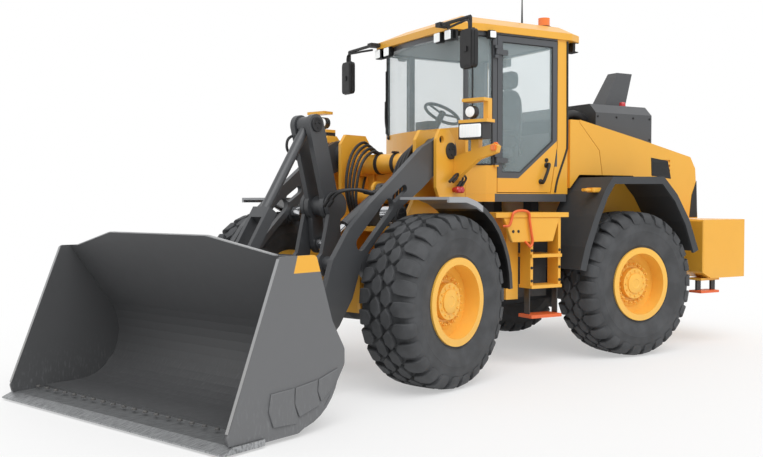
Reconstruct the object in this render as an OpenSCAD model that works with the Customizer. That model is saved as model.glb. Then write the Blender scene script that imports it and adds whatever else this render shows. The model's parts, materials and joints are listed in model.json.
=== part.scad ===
// Articulated wheel loader with a bucket, standing steered to the left.
// The rear half lies along X; the front half turns about the upright pivot between the axles.

/* [Machine] */
// Distance between the axles
wheelbase = 3000; // [2900:10:3150]
// Distance between the tyre centres of one axle
track = 1930; // [1900:5:1990]
// Angle that the front half is steered to the left, in degrees
steer_angle = 20; // [0:1:30]

/* [Wheels] */
// Tyre diameter over the lugs
tyre_d = 1436; // [1400:2:1480]
// Tyre width
tyre_w = 520; // [480:5:540]
// Rim diameter at the bead seat
rim_d = 636; // [600:2:660]
// Rim width between the flanges
rim_w = 440; // [420:5:450]

/* [Cab] */
// Width of the cab
cab_w = 1520; // [1440:10:1560]
// Height of the cab floor above the ground
floor_z = 1530; // [1500:5:1560]
// Height from the cab floor to the roof
cab_h = 1590; // [1520:10:1680]
// Length of the cab side from the rear wall to the front pillars
cab_l = 1245; // [1190:5:1270]

/* [Bucket] */
// Width of the bucket over its side plates
bucket_w = 2550; // [2400:10:2700]
// Depth of the bucket from its back curve to the side plate tips
bucket_l = 1000; // [940:10:1080]
// Height of the bucket at its side plates
bucket_h = 1130; // [1060:10:1180]

/* [Rear body] */
// Width of the engine hood
hood_w = 1520; // [1480:10:1560]
// Width of the counterweight
weight_w = 2160; // [2000:10:2300]
// Outer width of the rear fenders
fender_w = 2440; // [2400:10:2480]

/* [Hidden] */
// Gaps and overruns
seam = 0.5;
pin_gap = 0.1;
run_gap = 7;
over = 4;
plate = 40;
sheet = 25;
fine = 96;
mid = 48;
small = 24;

// Tow hitch
jaw_w = 180;
jaw_l = 190;
jaw_t = 40;
jaw_gap = 110;
jaw_bore_r = 22;
jaw_z = 780;

// Counterweight
weight_front = 1020;
weight_low = 720;
weight_high = 1340;
weight_shares = [[0.00, 0.10], [0.00, 1.00], [0.88, 1.00], [1.00, 0.55], [1.00, 0.30], [0.82, 0.00], [0.14, 0.00]];
weight_cut = 230;
weight_round = 25;

// Main places
axle_z = tyre_d / 2;
rear_x = -wheelbase / 2;
front_x = wheelbase / 2;
edge_tip_x = 4050;
edge_w = bucket_w + 2 * plate / 2;
weight_rear = 1900;
reach_x = edge_tip_x * cos(steer_angle) + edge_w / 2 * sin(steer_angle);
reach_y = edge_tip_x * sin(steer_angle) + edge_w / 2 * cos(steer_angle);
centre_x = (reach_x + rear_x - weight_rear - seam - jaw_l) / 2;
centre_y = (reach_y - track / 2 - tyre_w / 2) / 2;

// Wheel
tyre_r = tyre_d / 2;
bead_r = rim_d / 2;
flange_r = bead_r + 42;
flange_t = 18;
lugs = 17;
lug_h = 38;
lug_share = 0.5;
lug_slope_share = 0.05;
lug_turn_share = 0.5;
crown_share = 0.34;
shoulder_share = 0.9;
bulge_share = 0.62;
barrel_t = 16;
disc_t = 24;
disc_set = 150;
drum_r = 185;
drum_l = 190;
spindle_r = 95;
cover_r = 150;
cover_h = 60;

// Axles
tube_r = 135;
bowl_r = 225;
bowl_half = 150;
bowl_taper = 260;
brake_r = 190;
brake_set = 185;
brake_l = 190;
brake_out = track / 2 - brake_set;
brake_in = brake_out - brake_l;
nose_r = 120;
nose_half = 330;
pad_x = 130;
pad_in = 350;

// Articulation pivot
fork_t = 35;
tongue_t = 40;
pivot_pin_r = 45;
fork_r = 110;
tongue_share = 0.95;
pivot_low = 580;
pivot_high = 1190;
pivot_wall = 290;
shaft_r = 45;
shaft_hole_r = 92;
joint_r = 58;

// Rear chassis
rail_in = 360;
rail_out = 400;
rail_mid = (rail_in + rail_out) / 2;
rail_top = 1060;
rail_rear = rear_x - weight_front + seam;
rail_back_z = 760;
arch_half = 270;
arch_z = 905;
hanger_half = 150;
hanger_z = 560;
notch_low = 820;
notch_high = 940;
notch_rear = -680;
notch_front = 310;
frame_low = 500;
frame_high = 1270;
post_w = 100;
post_in = 280;
post_front_x = -290;
post_rear_x = -860;

// Steering cylinders
steer_z = 880;
steer_base = [-750, 470];
steer_end = [360, 370];
steer_r = 45;
steer_rod_r = 25;
steer_barrel = 690;
steer_rod_l = 725;
steer_neck_share = 1.5;
steer_eye_r = 50;
steer_eye_t = 60;
steer_pin_r = 24;
steer_lug = 25;
steer_lug_w = 100;

// Engine and gearbox
engine_l = 800;
engine_half = 300;
engine_top = 1700;
engine_set = 100;
engine_front = rear_x - engine_set;
box_front = -600;
box_rear = -1130;
box_low = 520;
box_high = 1000;

// Front frame
spine_in = 265;
spine_out = 300;
spine_rear = 200;
spine_front = 640;
tower_plate = 35;
outer_plate = 30;
tyre_side_gap = 15;
boom_side_gap = 10;
tower_set = 170;
outer_in = track / 2 - tyre_w / 2 - outer_plate - tyre_side_gap;
boom_t = 50;
boom_in = outer_in - boom_t - boom_side_gap;
tower_in = boom_in - tower_set;
tower_rear = 600;
wall_x = 600;
tower_shares = [[0.000, 0.00], [0.390, 0.02], [0.455, 0.235], [0.800, 0.235], [0.830, 0.05],
  [0.900, 0.05], [0.915, 0.10], [0.915, 0.24], [0.860, 0.30], [0.520, 0.46],
  [0.370, 0.65], [0.370, 0.945], [0.320, 1.00], [0.115, 1.00], [0.055, 0.935], [0.055, 0.56], [0.000, 0.50]];
tower_l = 1390;
tower_low = 520;
tower_high = 2170;
pad_top = tower_low + tower_shares[2].y * (tower_high - tower_low) - seam;
cheek_shares = [[0.00, 0.00], [0.80, 0.00], [1.00, 0.25], [1.00, 0.87], [0.86, 1.00], [0.57, 1.00], [0.37, 0.87],
  [0.30, 0.50], [0.00, 0.40]];
cheek_l = 435;
cheek_rear = 678;
cheek_low = 1480;
deck_low = 1262;
deck_t = 38;
deck_l = 650;
nose_wall_x = 1800;
nose_wall_h = 280;
nose_wall_z = 600;
tilt_tube = [880, 1570];
tilt_tube_r = 62;
tilt_lug_in = 64;
tilt_lug_t = 30;
tilt_lug_r = 78;
lug_neck_share = 1.8;
lift_hole = [1035, 2075];
lift_hole_r = 34;

// Pins of the lifting gear, along and up in the front half
boom_pin = [900, 1980];
lever_pin = [1820, 1494];
link_top = [2015, 2175];
link_low = [2750, 1100];
bucket_pin = [2613, 439];
tilt_end = [1790, 1164];
tilt_base = [1000, 1640];
lift_base = [650, 700];
lift_end = [1560, 1420];

// Boom
boom_pin_r = 50;
boom_hub_r = 150;
boom_hub_in = tower_in + tower_plate + run_gap;
boom_tip_r = 110;
boom_tube_r = 80;
beam_at = [1950, 1005];
beam_r = 65;
beam_hub_r = 105;
bracket_in = 125;
bracket_t = 40;
bracket_r = 120;
bracket_w = 150;
bucket_pin_r = 40;
boom_l = 1713;
boom_drop = 1541;
boom_shares = [[0.000, 0.085], [0.060, 0.085], [0.215, 0.010], [0.430, -0.160], [0.612, -0.300],
  [0.760, -0.430], [0.872, -0.585], [0.920, -0.720], [1.015, -0.900], [1.050, -0.985],
  [0.957, -1.035], [0.830, -0.920], [0.742, -0.790], [0.675, -0.610], [0.540, -0.467],
  [0.385, -0.325], [0.215, -0.220], [0.080, -0.117], [0.000, -0.085]];
window_a = [1715, 1500];
window_b = [2065, 1195];
window_r = 58;
slot_a = [1510, 1640];
slot_b = [1640, 1560];
slot_r = 34;
lift_boss_r = 80;

// Lever and link
lever_in = 63;
lever_boss_t = 8;
lever_t = 50;
lever_hub_r = 125;
lever_top_r = 88;
lever_low_r = 80;
link_pin_r = 35;
link_eye_r = 72;
link_eye_half = 55;
link_r = 43;
crown_at = 860;
crown_l = 100;
fork_in = 62;
fork_leg = 36;
fork_leg_w = 92;
fork_pad_in = 36;
fork_pad_r = 42;

// Tilt and lift cylinders
tilt_r = 57;
tilt_barrel = 640;
tilt_rod_r = 38;
tilt_neck_share = 1.6;
tilt_eye_r = 62;
tilt_eye_half = 55;
tilt_pin_r = 30;
lift_r = 55;
lift_set = 100;
lift_y = tower_in + lift_set;
lift_barrel = 1060;
lift_rod_r = 34;
lift_rod_l = 1060;
lift_eye_r = 72;
lift_eye_half = 52;
lift_pin_r = 35;
lift_head_r = 52;
lift_neck_share = 0.7;
bore_end = 10;

// Coupler and bucket
coupler_x = 2930;
coupler_t = 34;
coupler_half = 720;
coupler_low = 380;
coupler_high = 800;
coupler_peak = 1080;
coupler_mid = 300;
lug_t = 35;
lug_r = 100;
link_lug_half = 28;
link_lug_r = 78;
bucket_floor = 50;
bucket_r = 400;
back_lean = 53.1;
bucket_back = 3000;
guard_top = 1300;
guard_half = 560;
side_t = 22;
rib_t = 30;
edge_l = 340;
edge_t = 42;
edge_z = 16;
side_shares = [[1.000, 0.055], [0.560, 1.000], [0.230, 1.000], [0.075, 0.600], [-0.045, 0.425],
  [-0.045, 0.330], [0.030, 0.235], [0.200, 0.065], [0.400, -0.018], [0.700, -0.018], [0.709, 0.0085], [0.985, 0.0085]];
side_rounds = [20, 30, 40, 60, 60, 50, 60, 60, 60, 0, 0, 0];

// Cab
cab_wall = 55;
cab_rear = -960;
floor_set = 50;
pillar_w = 28;
cab_front = cab_rear + cab_l;
cab_bow = 120;
cab_taper = 35;
sill_t = 75;
header = 46;
glass_t = 12;
door_t = 50;
door_front = -60;
door_rear = -790;
door_foot = -705;
door_low_share = 0.054;
door_kink_share = 0.34;
frame_w = 55;
screen_low_share = 0.39;
quarter_low_share = 0.17;
rear_low_share = 0.48;
hinge_x = -40;
hinge_y = 778;
hinge_r = 9;
hinge_lug = 30;
hinge_h = 120;
hinge_shares = [0.16, 0.80];
roof_t = 65;
roof_crown = 115;
roof_round = 50;
roof_front = 430;
roof_rear = -1130;
roof_inset = 260;
roof_back_inset = 100;

// Rear fenders, about the axle: angles in degrees and shares of the tyre radius
fender_angles = [12, 27, 47, 61, 69, 105, 118, 136, 158];
fender_shares = [1.16, 1.18, 1.29, 1.46, 1.57, 1.53, 1.40, 1.26, 1.18];
fender_t = 28;
fender_lip = 75;
fender_in = 640.5;
front_fender_set = 245;
front_fender_reach = 257;
front_fender_in = track / 2 - front_fender_set;
front_fender_out = track / 2 + front_fender_reach;
front_fender_r = 792;
front_fender_rise = 62;
front_fender_t = 22;
front_fender_lip = 45;
front_fender_angles = [176, 166, 156, 146, 136, 126, 116, 106, 96];

// Hood and exhaust
hood_front = -1075;
hood_back = 1290;
hood_rear = rear_x - hood_back;
hood_foot_back = 850;
hood_foot_front = 320;
hood_wall = 30;
hood_low = 1800;
hood_tail_low = weight_high + 10;
hood_shares = [[0.00, 1.00], [0.50, 0.826], [0.93, 0.665], [0.975, 0.541], [1.00, 0.00]];
hood_h = 1000;
hood_pocket = 672;
hood_pocket_rear = -2290;
lid_pin = [hood_rear + 20, weight_high + 45];
lid_pin_r = 12;
lid_knuckle_r = 22;
lid_y = 200;
lid_w = 100;
lid_ear = 30;
lid_ear_half = 20;
lid_notch = 120;
exhaust_half = 640;
exhaust_front = -1410;
exhaust_rear = -2210;
exhaust_low = 2150;
exhaust_top = 2545;
exhaust_edge = 95;
stack_x = -2050;
stack_y = 300;
stack_w = 210;
stack_l = 300;
stack_h = 375;
stack_lean = 137;

// Rear body panels
cowl_in = 600;
cowl_out = 640;
cowl_top = 1770;
cowl_back = 830;
panel_in = 700;
panel_low = 1665;
panel_foot = [-1085, 1800];
panel_top = 2345;
seam_line = [[-1389, 1800], [-1346, 2050], [-1083, 2318], [-1083, 2345]];
vent = [-2366, -2095];
vent_z = 1800;
vent_step = 50;
vent_h = 26;
vent_d = 14;

// Tanks, ladder and steps
tank_in = 610;
tank_split = -150;
tank_recess = 830;
platform_front = 100;
platform_nose = 250;
tank_out = 960;
tank_low = 620;
tank_high = 1390;
tank_front = -10;
tank_rear = -600;
ladder_out = 1150;
ladder_in = 960;
ladder_front = -160;
ladder_rear = -520;
ladder_low = 455;
rung_z = [730, 1015];
ladder_rail = 30;
ladder_edge = 20;
rung_t = 30;
strap_t = 12;
step_strap = 60;

// Lamps, mirrors, beacon
lamp_w = 110;
lamp_h = 95;
lamp_d = 70;
mirror_x = 500;
mirror_y = 1120;
mirror_w = 190;
mirror_h = 340;
mirror_round = 40;
mirror_t = 60;
arm_r = 16;
beacon_at = [-963, 350];
aerial_at = [-797, 200];
beacon_r = 60;
beacon_h = 110;
aerial_r = 6;
aerial_h = 320;
head_x = 800;
head_t = 60;
head_arm = [[690.5, 1700], [690.5, 1930], [900, 1985], [1120, 2035], [1155, 2010], [1140, 1955], [950, 1900],
  [800, 1790]];
head_case = [795, 1047, 2076, 2221];
head_depth = 130;
head_stalk = [880, 960];
head_shelf = [795, 1090, 2221, 2246];
head_post = [1010, 1060, 2246, 2430];
head_bar = [830, 1060, 2402, 2430];
round_lamp = [890, 2317];
round_lamp_r = 56;
round_stalk_r = 14;

// Seat and console
seat_w = 520;
seat_x = -500;
seat_l = 500;
cushion_t = 120;
seat_z = 480;
back_h = 640;
back_t = 130;
head_h = 200;
head_w = 300;
console_x = 60;
wheel_ring_r = 185;
ring_r = 16;
seat_round = 28;

// Rounds the corners of an outline; each radius belongs to one corner
function corner(a, b, c, r) = r == 0 ? [b] : let(
  u = (a - b) / norm(a - b), v = (c - b) / norm(c - b),
  half = acos(max(-1, min(1, u * v))) / 2,
  m = b + (u + v) / norm(u + v) * r / sin(half),
  p = b + u * r / tan(half), q = b + v * r / tan(half),
  s = atan2(p.y - m.y, p.x - m.x), e = atan2(q.y - m.y, q.x - m.x),
  sweep = (e - s + 540) % 360 - 180)
  [for (i = [0:6]) m + r * [cos(s + sweep * i / 6), sin(s + sweep * i / 6)]];
function rounded(p, r) = [for (i = [0:len(p) - 1])
  each corner(p[(i + len(p) - 1) % len(p)], p[i], p[(i + 1) % len(p)], is_list(r) ? r[i] : r)];
function sized(s, at, size) = [for (p = s) [at.x + p.x * size.x, at.y + p.y * size.y]];
function turn(p, a) = [p.x * cos(a) - p.y * sin(a), p.x * sin(a) + p.y * cos(a)];
function angle_of(p) = atan2(p.y, p.x);
// Slot with round ends between two points
function slot_points(a, b, r) = let(at = angle_of(b - a) + 90)
  [for (k = [0, 1]) for (i = [0:12]) (k == 0 ? a : b) + r * [cos(at + 180 * k + 15 * i), sin(at + 180 * k + 15 * i)]];

// Places of the two halves
module in_rear() {
  translate([-centre_x, -centre_y, 0]) children();
}
module in_front() {
  in_rear() rotate([0, 0, steer_angle]) children();
}
module both() {
  children();
  mirror([0, 1, 0]) children();
}
// Plate standing along the machine, from side y to y + t
module upright(y, t) {
  translate([0, y + t, 0]) rotate([90, 0, 0]) linear_extrude(t) children();
}
// Cylinder across the machine at a point of the side view
module across(p, r, y0, y1, n = fine) {
  translate([p.x, y1, p.y]) rotate([90, 0, 0]) cylinder(r = r, h = y1 - y0, $fn = n);
}
module box(x0, x1, y0, y1, z0, z1) {
  translate([x0, y0, z0]) cube([x1 - x0, y1 - y0, z1 - z0]);
}
module disc(p, r, n = fine) {
  translate(p) circle(r = r, $fn = n);
}
// Bar between two points of a side view
module strip(a, b, w) {
  translate(a) rotate(angle_of(b - a)) translate([0, -w / 2]) square([norm(b - a), w]);
}
// Outline of a side view swept round a wheel's axis
module swept(points) {
  rotate([-90, 0, 0]) rotate_extrude($fn = fine) polygon(points);
}

// Wheels: axis along Y with the outer side at +Y
// Rings of points round the tyre, each with its side place, its radius between the lugs and over them, and its turn
tyre_rings = let(w = tyre_w / 2, b = rim_w / 2 - seam, base = (bead_r + seam) / cos(180 / lugs * 0.6),
  bulge = bead_r + (tyre_r - bead_r) * bulge_share, edge = w * (1 - crown_share), top = tyre_r / cos(180 / lugs * lug_share))
  [[-b, base, base, 0], [-b, flange_r + over, flange_r + over, 0], [-w, bulge, bulge, 0],
  [-w, tyre_r * shoulder_share - lug_h, tyre_r * shoulder_share, 0], [-edge, top - lug_h, top, 0],
  [0, top - lug_h, top, lug_turn_share], [edge, top - lug_h, top, 0],
  [w, tyre_r * shoulder_share - lug_h, tyre_r * shoulder_share, 0], [w, bulge, bulge, 0],
  [b, flange_r + over, flange_r + over, 0], [b, base, base, 0]];
// Four places of one lug: the share of its pitch, and 1 over the lug or 0 beside it
lug_places = [[-lug_slope_share, 0], [0, 1], [lug_share, 1], [lug_share + lug_slope_share, 0]];
module tyre() {
  n = 4 * lugs;
  rows = len(tyre_rings);
  points = [for (g = tyre_rings) for (k = [0:lugs - 1]) for (q = lug_places)
    let(a = 270 + (k + q.x + g[3] - lug_share / 2) * 360 / lugs, r = q.y == 1 ? g[2] : g[1]) [r * cos(a), g[0], r * sin(a)]];
  function at(j, i) = (j % rows) * n + i % n;
  color([0.07, 0.075, 0.08]) polyhedron(points, [for (j = [0:rows - 1]) for (i = [0:n - 1])
    each [[at(j, i), at(j, i + 1), at(j + 1, i)], [at(j, i + 1), at(j + 1, i + 1), at(j + 1, i)]]]);
}
module rim() {
  h = rim_w / 2;
  d = h + flange_t - disc_set;
  color([0.93, 0.6, 0.1]) swept([[spindle_r + pin_gap, d - drum_l], [drum_r, d - drum_l], [drum_r, d - disc_t],
    [bead_r - barrel_t, d - disc_t], [bead_r - barrel_t, -h - flange_t], [flange_r, -h - flange_t],
    [flange_r, -h], [bead_r, -h], [bead_r, h], [flange_r, h], [flange_r, h + flange_t],
    [bead_r - barrel_t, h + flange_t], [bead_r - barrel_t, d], [cover_r, d], [cover_r, d + cover_h], [0, d + cover_h],
    [0, d + cover_h - disc_t], [spindle_r + pin_gap, d + cover_h - disc_t]]);
}
module at_wheel(x, side) {
  translate([x, side * track / 2, axle_z]) mirror([0, side < 0 ? 1 : 0, 0]) children();
}
module wheel_front_left() {
  in_front() at_wheel(front_x, 1) rim();
}
module wheel_front_right() {
  in_front() at_wheel(front_x, -1) rim();
}
module wheel_rear_left() {
  in_rear() at_wheel(rear_x, 1) rim();
}
module wheel_rear_right() {
  in_rear() at_wheel(rear_x, -1) rim();
}
module tyre_front_left() {
  in_front() at_wheel(front_x, 1) tyre();
}
module tyre_front_right() {
  in_front() at_wheel(front_x, -1) tyre();
}
module tyre_rear_left() {
  in_rear() at_wheel(rear_x, 1) tyre();
}
module tyre_rear_right() {
  in_rear() at_wheel(rear_x, -1) tyre();
}

// Axle housing across the machine at the origin
module axle_body() {
  spindle = track / 2 + rim_w / 2 + flange_t - disc_set - disc_t - seam;
  swept([[0, -spindle], [spindle_r, -spindle], [spindle_r, -brake_out], [brake_r, -brake_out],
    [brake_r, -brake_in], [tube_r, -brake_in], [tube_r, -bowl_taper], [bowl_r, -bowl_half], [bowl_r, bowl_half],
    [tube_r, bowl_taper], [tube_r, brake_in], [brake_r, brake_in], [brake_r, brake_out],
    [spindle_r, brake_out], [spindle_r, spindle], [0, spindle]]);
}
module rear_axle() {
  color([0.2, 0.2, 0.21]) in_rear() translate([rear_x, 0, axle_z]) union() {
    axle_body();
    translate([-nose_half, 0, 0]) rotate([0, 90, 0]) cylinder(r = nose_r, h = 2 * nose_half, $fn = fine);
  }
}
module front_axle() {
  start = joint_r + run_gap;
  color([0.2, 0.2, 0.21]) in_front() union() {
    translate([front_x, 0, axle_z]) {
      axle_body();
      both() translate([-pad_x, pad_in, 0]) cube([2 * pad_x, tower_in + tower_plate - pad_in, pad_top - axle_z]);
    }
    translate([start, 0, axle_z]) rotate([0, 90, 0]) cylinder(r = shaft_r, h = front_x - start, $fn = mid);
    translate([front_x - nose_half - plate, 0, axle_z]) rotate([0, 90, 0])
      cylinder(r = nose_r, h = nose_half, $fn = fine);
  }
}

// Rear chassis
module fork_plate(z, t) {
  translate([0, 0, z]) linear_extrude(t) {
    circle(r = fork_r, $fn = fine);
    translate([-pivot_wall - plate / 2, -fork_r]) square([pivot_wall + plate / 2, 2 * fork_r]);
  }
}
module rear_chassis() {
  gap = tongue_t / 2 + run_gap;
  rail = [[-pivot_wall, frame_low], [-pivot_wall, notch_low], [notch_rear, notch_low], [notch_rear, notch_high],
    [-pivot_wall, notch_high], [-pivot_wall, frame_high], [-pivot_wall - 2 * post_w, frame_high],
    [post_rear_x + 2 * post_w, rail_top], [rail_rear, rail_top], [rail_rear, rail_back_z],
    [rear_x - arch_half - hanger_half, rail_back_z], [rear_x - arch_half - hanger_half, hanger_z],
    [rear_x - arch_half, hanger_z], [rear_x - arch_half, arch_z], [rear_x + arch_half, arch_z],
    [rear_x + arch_half, hanger_z], [-pivot_wall - 2 * post_w, frame_low]];
  color([0.17, 0.17, 0.18]) in_rear() difference() {
    union() {
      both() {
        upright(rail_in, rail_out - rail_in) polygon(rail);
        box(post_front_x - post_w, post_front_x, post_in, rail_out, frame_high - plate, floor_z - seam);
        box(post_rear_x, post_rear_x + post_w, post_in, rail_out, rail_top - plate, floor_z - seam);
        for (z = [steer_z - steer_eye_t / 2 - run_gap - steer_lug, steer_z + steer_eye_t / 2 + run_gap])
          box(steer_base.x - steer_lug_w / 2, steer_base.x + steer_lug_w / 2, rail_out - over,
            steer_base.y + steer_lug_w / 2, z, z + steer_lug);
        translate([steer_base.x, steer_base.y, steer_z - steer_eye_t / 2 - run_gap - steer_lug])
          cylinder(r = steer_pin_r, h = steer_eye_t + 2 * run_gap + 2 * steer_lug, $fn = mid);
      }
      box(-pivot_wall - plate, -pivot_wall, -rail_out, rail_out, frame_low, notch_low);
      box(-pivot_wall - plate, -pivot_wall, -rail_out, rail_out, notch_high, frame_high);
      box(rear_x + arch_half, rear_x + arch_half + plate, -rail_in - over, rail_in + over, hanger_z, rail_top);
      box(rear_x - arch_half - plate, rear_x - arch_half, -rail_in - over, rail_in + over, hanger_z, rail_top);
      box(rail_rear, rail_rear + plate, -rail_in - over, rail_in + over, rail_back_z, rail_top);
      for (z = [pivot_low, pivot_high]) {
        fork_plate(z + gap, fork_t);
        fork_plate(z - gap - fork_t, fork_t);
        translate([0, 0, z - gap - fork_t]) cylinder(r = pivot_pin_r, h = 2 * gap + 2 * fork_t, $fn = fine);
      }
    }
    translate([rear_x - arch_half - 2 * plate, 0, axle_z]) rotate([0, 90, 0])
      cylinder(r = nose_r + pin_gap, h = 2 * arch_half + 4 * plate, $fn = fine);
    translate([-pivot_wall - 2 * plate, 0, axle_z]) rotate([0, 90, 0])
      cylinder(r = shaft_hole_r, h = 4 * plate, $fn = mid);
  }
}
module gearbox() {
  color([0.24, 0.24, 0.25]) in_rear() union() {
    box(box_rear, box_front, -rail_in + seam, rail_in - seam, box_low, box_high);
    translate([box_front - over, 0, axle_z]) rotate([0, 90, 0]) cylinder(r = shaft_r, h = over - box_front, $fn = mid);
    translate([0, 0, axle_z]) sphere(r = joint_r, $fn = mid);
  }
}
module engine_block() {
  color([0.28, 0.28, 0.29]) in_rear() difference() {
    box(engine_front - engine_l, engine_front, -rail_mid + seam, rail_mid - seam, rail_top + seam, engine_top);
    both() box(engine_front - engine_l - over, engine_front + over, engine_half, 2 * engine_half,
      rail_top + plate * 2, engine_top + over);
  }
}

// Counterweight, tow hitch and rear steps
module counterweight() {
  front = rear_x - weight_front;
  rear = rear_x - weight_rear;
  h = weight_high - weight_low;
  half = weight_w / 2;
  color([0.95, 0.65, 0.1]) in_rear() {
    both() {
      for (y = [lid_y, lid_y + lid_w - lid_ear])
        box(lid_pin.x - lid_ear_half, lid_pin.x + lid_ear_half, y, y + lid_ear, weight_high - over,
          lid_pin.y + lid_ear_half);
      across(lid_pin, lid_pin_r, lid_y, lid_y + lid_w, mid);
    }
    intersection() {
      upright(-half, weight_w)
        polygon(rounded(sized(weight_shares, [front, weight_low], [rear - front, h]), weight_round));
      translate([0, 0, weight_low - over]) linear_extrude(h + 2 * over) polygon(rounded([[front + over, -half],
        [front + over, half], [rear + weight_cut, half], [rear, half - weight_cut], [rear, weight_cut - half],
        [rear + weight_cut, -half]], weight_round));
    }
  }
}
module tow_hitch() {
  front = rear_x - weight_rear - seam;
  color([0.14, 0.14, 0.15]) in_rear() difference() {
    union() {
      box(front - jaw_t, front, -jaw_w / 2, jaw_w / 2, jaw_z + 2 * jaw_t, jaw_z + 4 * jaw_t + jaw_gap);
      for (z = [jaw_z + 2 * jaw_t, jaw_z + 3 * jaw_t + jaw_gap])
        translate([0, 0, z]) linear_extrude(jaw_t) {
          translate([front - jaw_l, -jaw_w / 2]) square([jaw_l, jaw_w]);
        }
    }
    translate([front - jaw_l + jaw_w / 2, 0, jaw_z]) cylinder(r = jaw_bore_r, h = jaw_gap + 6 * jaw_t, $fn = mid);
  }
}
module rear_steps() {
  x0 = rear_x - weight_front - plate / 2;
  l = 7 * plate;
  w = 4 * plate;
  top = weight_low - seam;
  drop = 4 * plate;
  color([0.9, 0.45, 0.08]) in_rear() both() translate([x0 - l, weight_w / 2 - w - plate, top]) {
    translate([0, 0, -sheet]) cube([l, w, sheet]);
    translate([0, 0, -drop]) cube([l, w, sheet]);
    translate([0, w / 2, -drop]) cube([step_strap, sheet, drop]);
    translate([l - step_strap, w / 2, -drop]) cube([step_strap, sheet, drop]);
  }
}

// Rear body panels and fenders
module rear_cowl() {
  low = rail_top + seam;
  tail = rear_x - cowl_back;
  color([0.95, 0.65, 0.1]) in_rear() union() {
    both() {
      upright(cowl_in, cowl_out - cowl_in) polygon([[hood_front, low], [hood_front, cowl_top],
        [tail, cowl_top - plate], [tail, low]]);
      box(tail, hood_front, rail_mid + seam, cowl_in + over, low, low + sheet);
      upright(panel_in, hood_w / 2 - panel_in) polygon(concat([[cab_rear - seam, panel_low], panel_foot], seam_line,
        [[cab_rear - seam, panel_top]]));
    }
    box(hood_front - plate, hood_front, -cowl_out, cowl_out, low, cowl_top + 8 * plate);
    box(hood_front - plate, hood_front, -panel_in - over, panel_in + over, panel_foot.y, cowl_top + 8 * plate);
  }
}
module rear_fenders() {
  n = len(fender_angles) - 1;
  function ring(off) = [for (i = [0:n])
    (tyre_r * fender_shares[i] - off) * [cos(fender_angles[i]), sin(fender_angles[i])]];
  function back_to(p) = [for (i = [n:-1:0]) p[i]];
  outer = ring(0);
  color([0.2, 0.21, 0.22]) in_rear() both() translate([rear_x, 0, axle_z]) {
    upright(fender_in, fender_w / 2 - fender_in) polygon(concat(outer, back_to(ring(fender_t))));
    upright(fender_w / 2 - fender_t, fender_t) polygon(concat(outer, back_to(ring(fender_lip))));
  }
}

// Exhaust box with its stack
module exhaust_box() {
  leg = 5 * plate;
  half = exhaust_half;
  color([0.22, 0.23, 0.24]) in_rear() union() {
    translate([exhaust_rear, 0, 0]) rotate([90, 0, 90]) linear_extrude(exhaust_front - exhaust_rear)
      polygon([[-half, exhaust_low], [half, exhaust_low], [half, exhaust_top - exhaust_edge],
        [half - exhaust_edge, exhaust_top], [exhaust_edge - half, exhaust_top], [-half, exhaust_top - exhaust_edge]]);
    box(exhaust_front - over, hood_front - plate - seam, -half, half, exhaust_low, exhaust_low + sheet);
    for (x = [engine_front - leg, exhaust_rear + 2 * plate])
      box(x - plate, x + plate, -engine_half + plate, engine_half - plate, engine_top + seam, exhaust_low + over);
    hull() {
      translate([stack_x, stack_y - stack_w / 2, exhaust_top - over]) cube([stack_l, stack_w, over]);
      translate([stack_x - stack_lean, stack_y - stack_w / 3, exhaust_top + stack_h])
        cube([stack_l - 2 * plate, stack_w / 3 * 2, over]);
    }
  }
}

// Hood: a lid hinged at its rear, open in the middle for the exhaust box
module hood_side(inset) {
  l = hood_front - hood_rear;
  drop = inset > 0 ? over : 0;
  foot = rear_x - hood_foot_back - inset;
  polygon(concat([[hood_front - run_gap + drop, hood_low - drop]],
    [for (s = hood_shares) [hood_front - run_gap - s.x * (l - inset) + (s.x == 0 ? drop : 0),
      hood_tail_low + s.y * (hood_h - inset) - (s.y == 0 ? drop : 0)]],
    [[foot, hood_tail_low - drop], [foot, hood_tail_low + 2 * plate], [rear_x - hood_foot_front, hood_low - drop]]));
}
module engine_hood() {
  half = hood_w / 2;
  ear_gap = lid_ear + run_gap;
  pocket_low = cowl_top + 8 * plate + run_gap;
  color([0.95, 0.65, 0.1]) in_rear() difference() {
    union() {
      both() {
        across(lid_pin, lid_knuckle_r, lid_y + ear_gap, lid_y + lid_w - ear_gap, mid);
        box(hood_rear + over, hood_rear + hood_wall, lid_y + ear_gap, lid_y + lid_w - ear_gap, lid_pin.y,
          hood_tail_low + lid_notch + over);
      }
      difference() {
        upright(-half, hood_w) hood_side(0);
        upright(-half + hood_wall, hood_w - 2 * hood_wall) hood_side(hood_wall);
        box(hood_pocket_rear, hood_front, -hood_pocket, hood_pocket, pocket_low, exhaust_top);
        box(hood_rear + plate * 6, hood_front, -cowl_out - run_gap, cowl_out + run_gap, hood_tail_low - over,
          cowl_top + over);
        upright(-half - over, hood_w + 2 * over) polygon(concat([for (p = seam_line) [p.x - run_gap, p.y]],
          [[seam_line[3].x - run_gap, hood_tail_low + hood_h + over], [hood_front, hood_tail_low + hood_h + over],
          [hood_front, hood_low - over], [seam_line[0].x - run_gap, hood_low - over]]));
        both() {
          box(hood_rear - 2 * run_gap, hood_rear + 2 * hood_wall, lid_y - run_gap, lid_y + lid_w + run_gap,
            hood_tail_low - over, hood_tail_low + lid_notch);
          for (k = [0:3]) box(vent[0], vent[1], half - vent_d, half + over, vent_z + k * vent_step,
            vent_z + k * vent_step + vent_h);
        }
      }
    }
    both() across(lid_pin, lid_pin_r + pin_gap, lid_y, lid_y + lid_w, mid);
  }
}

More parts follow.
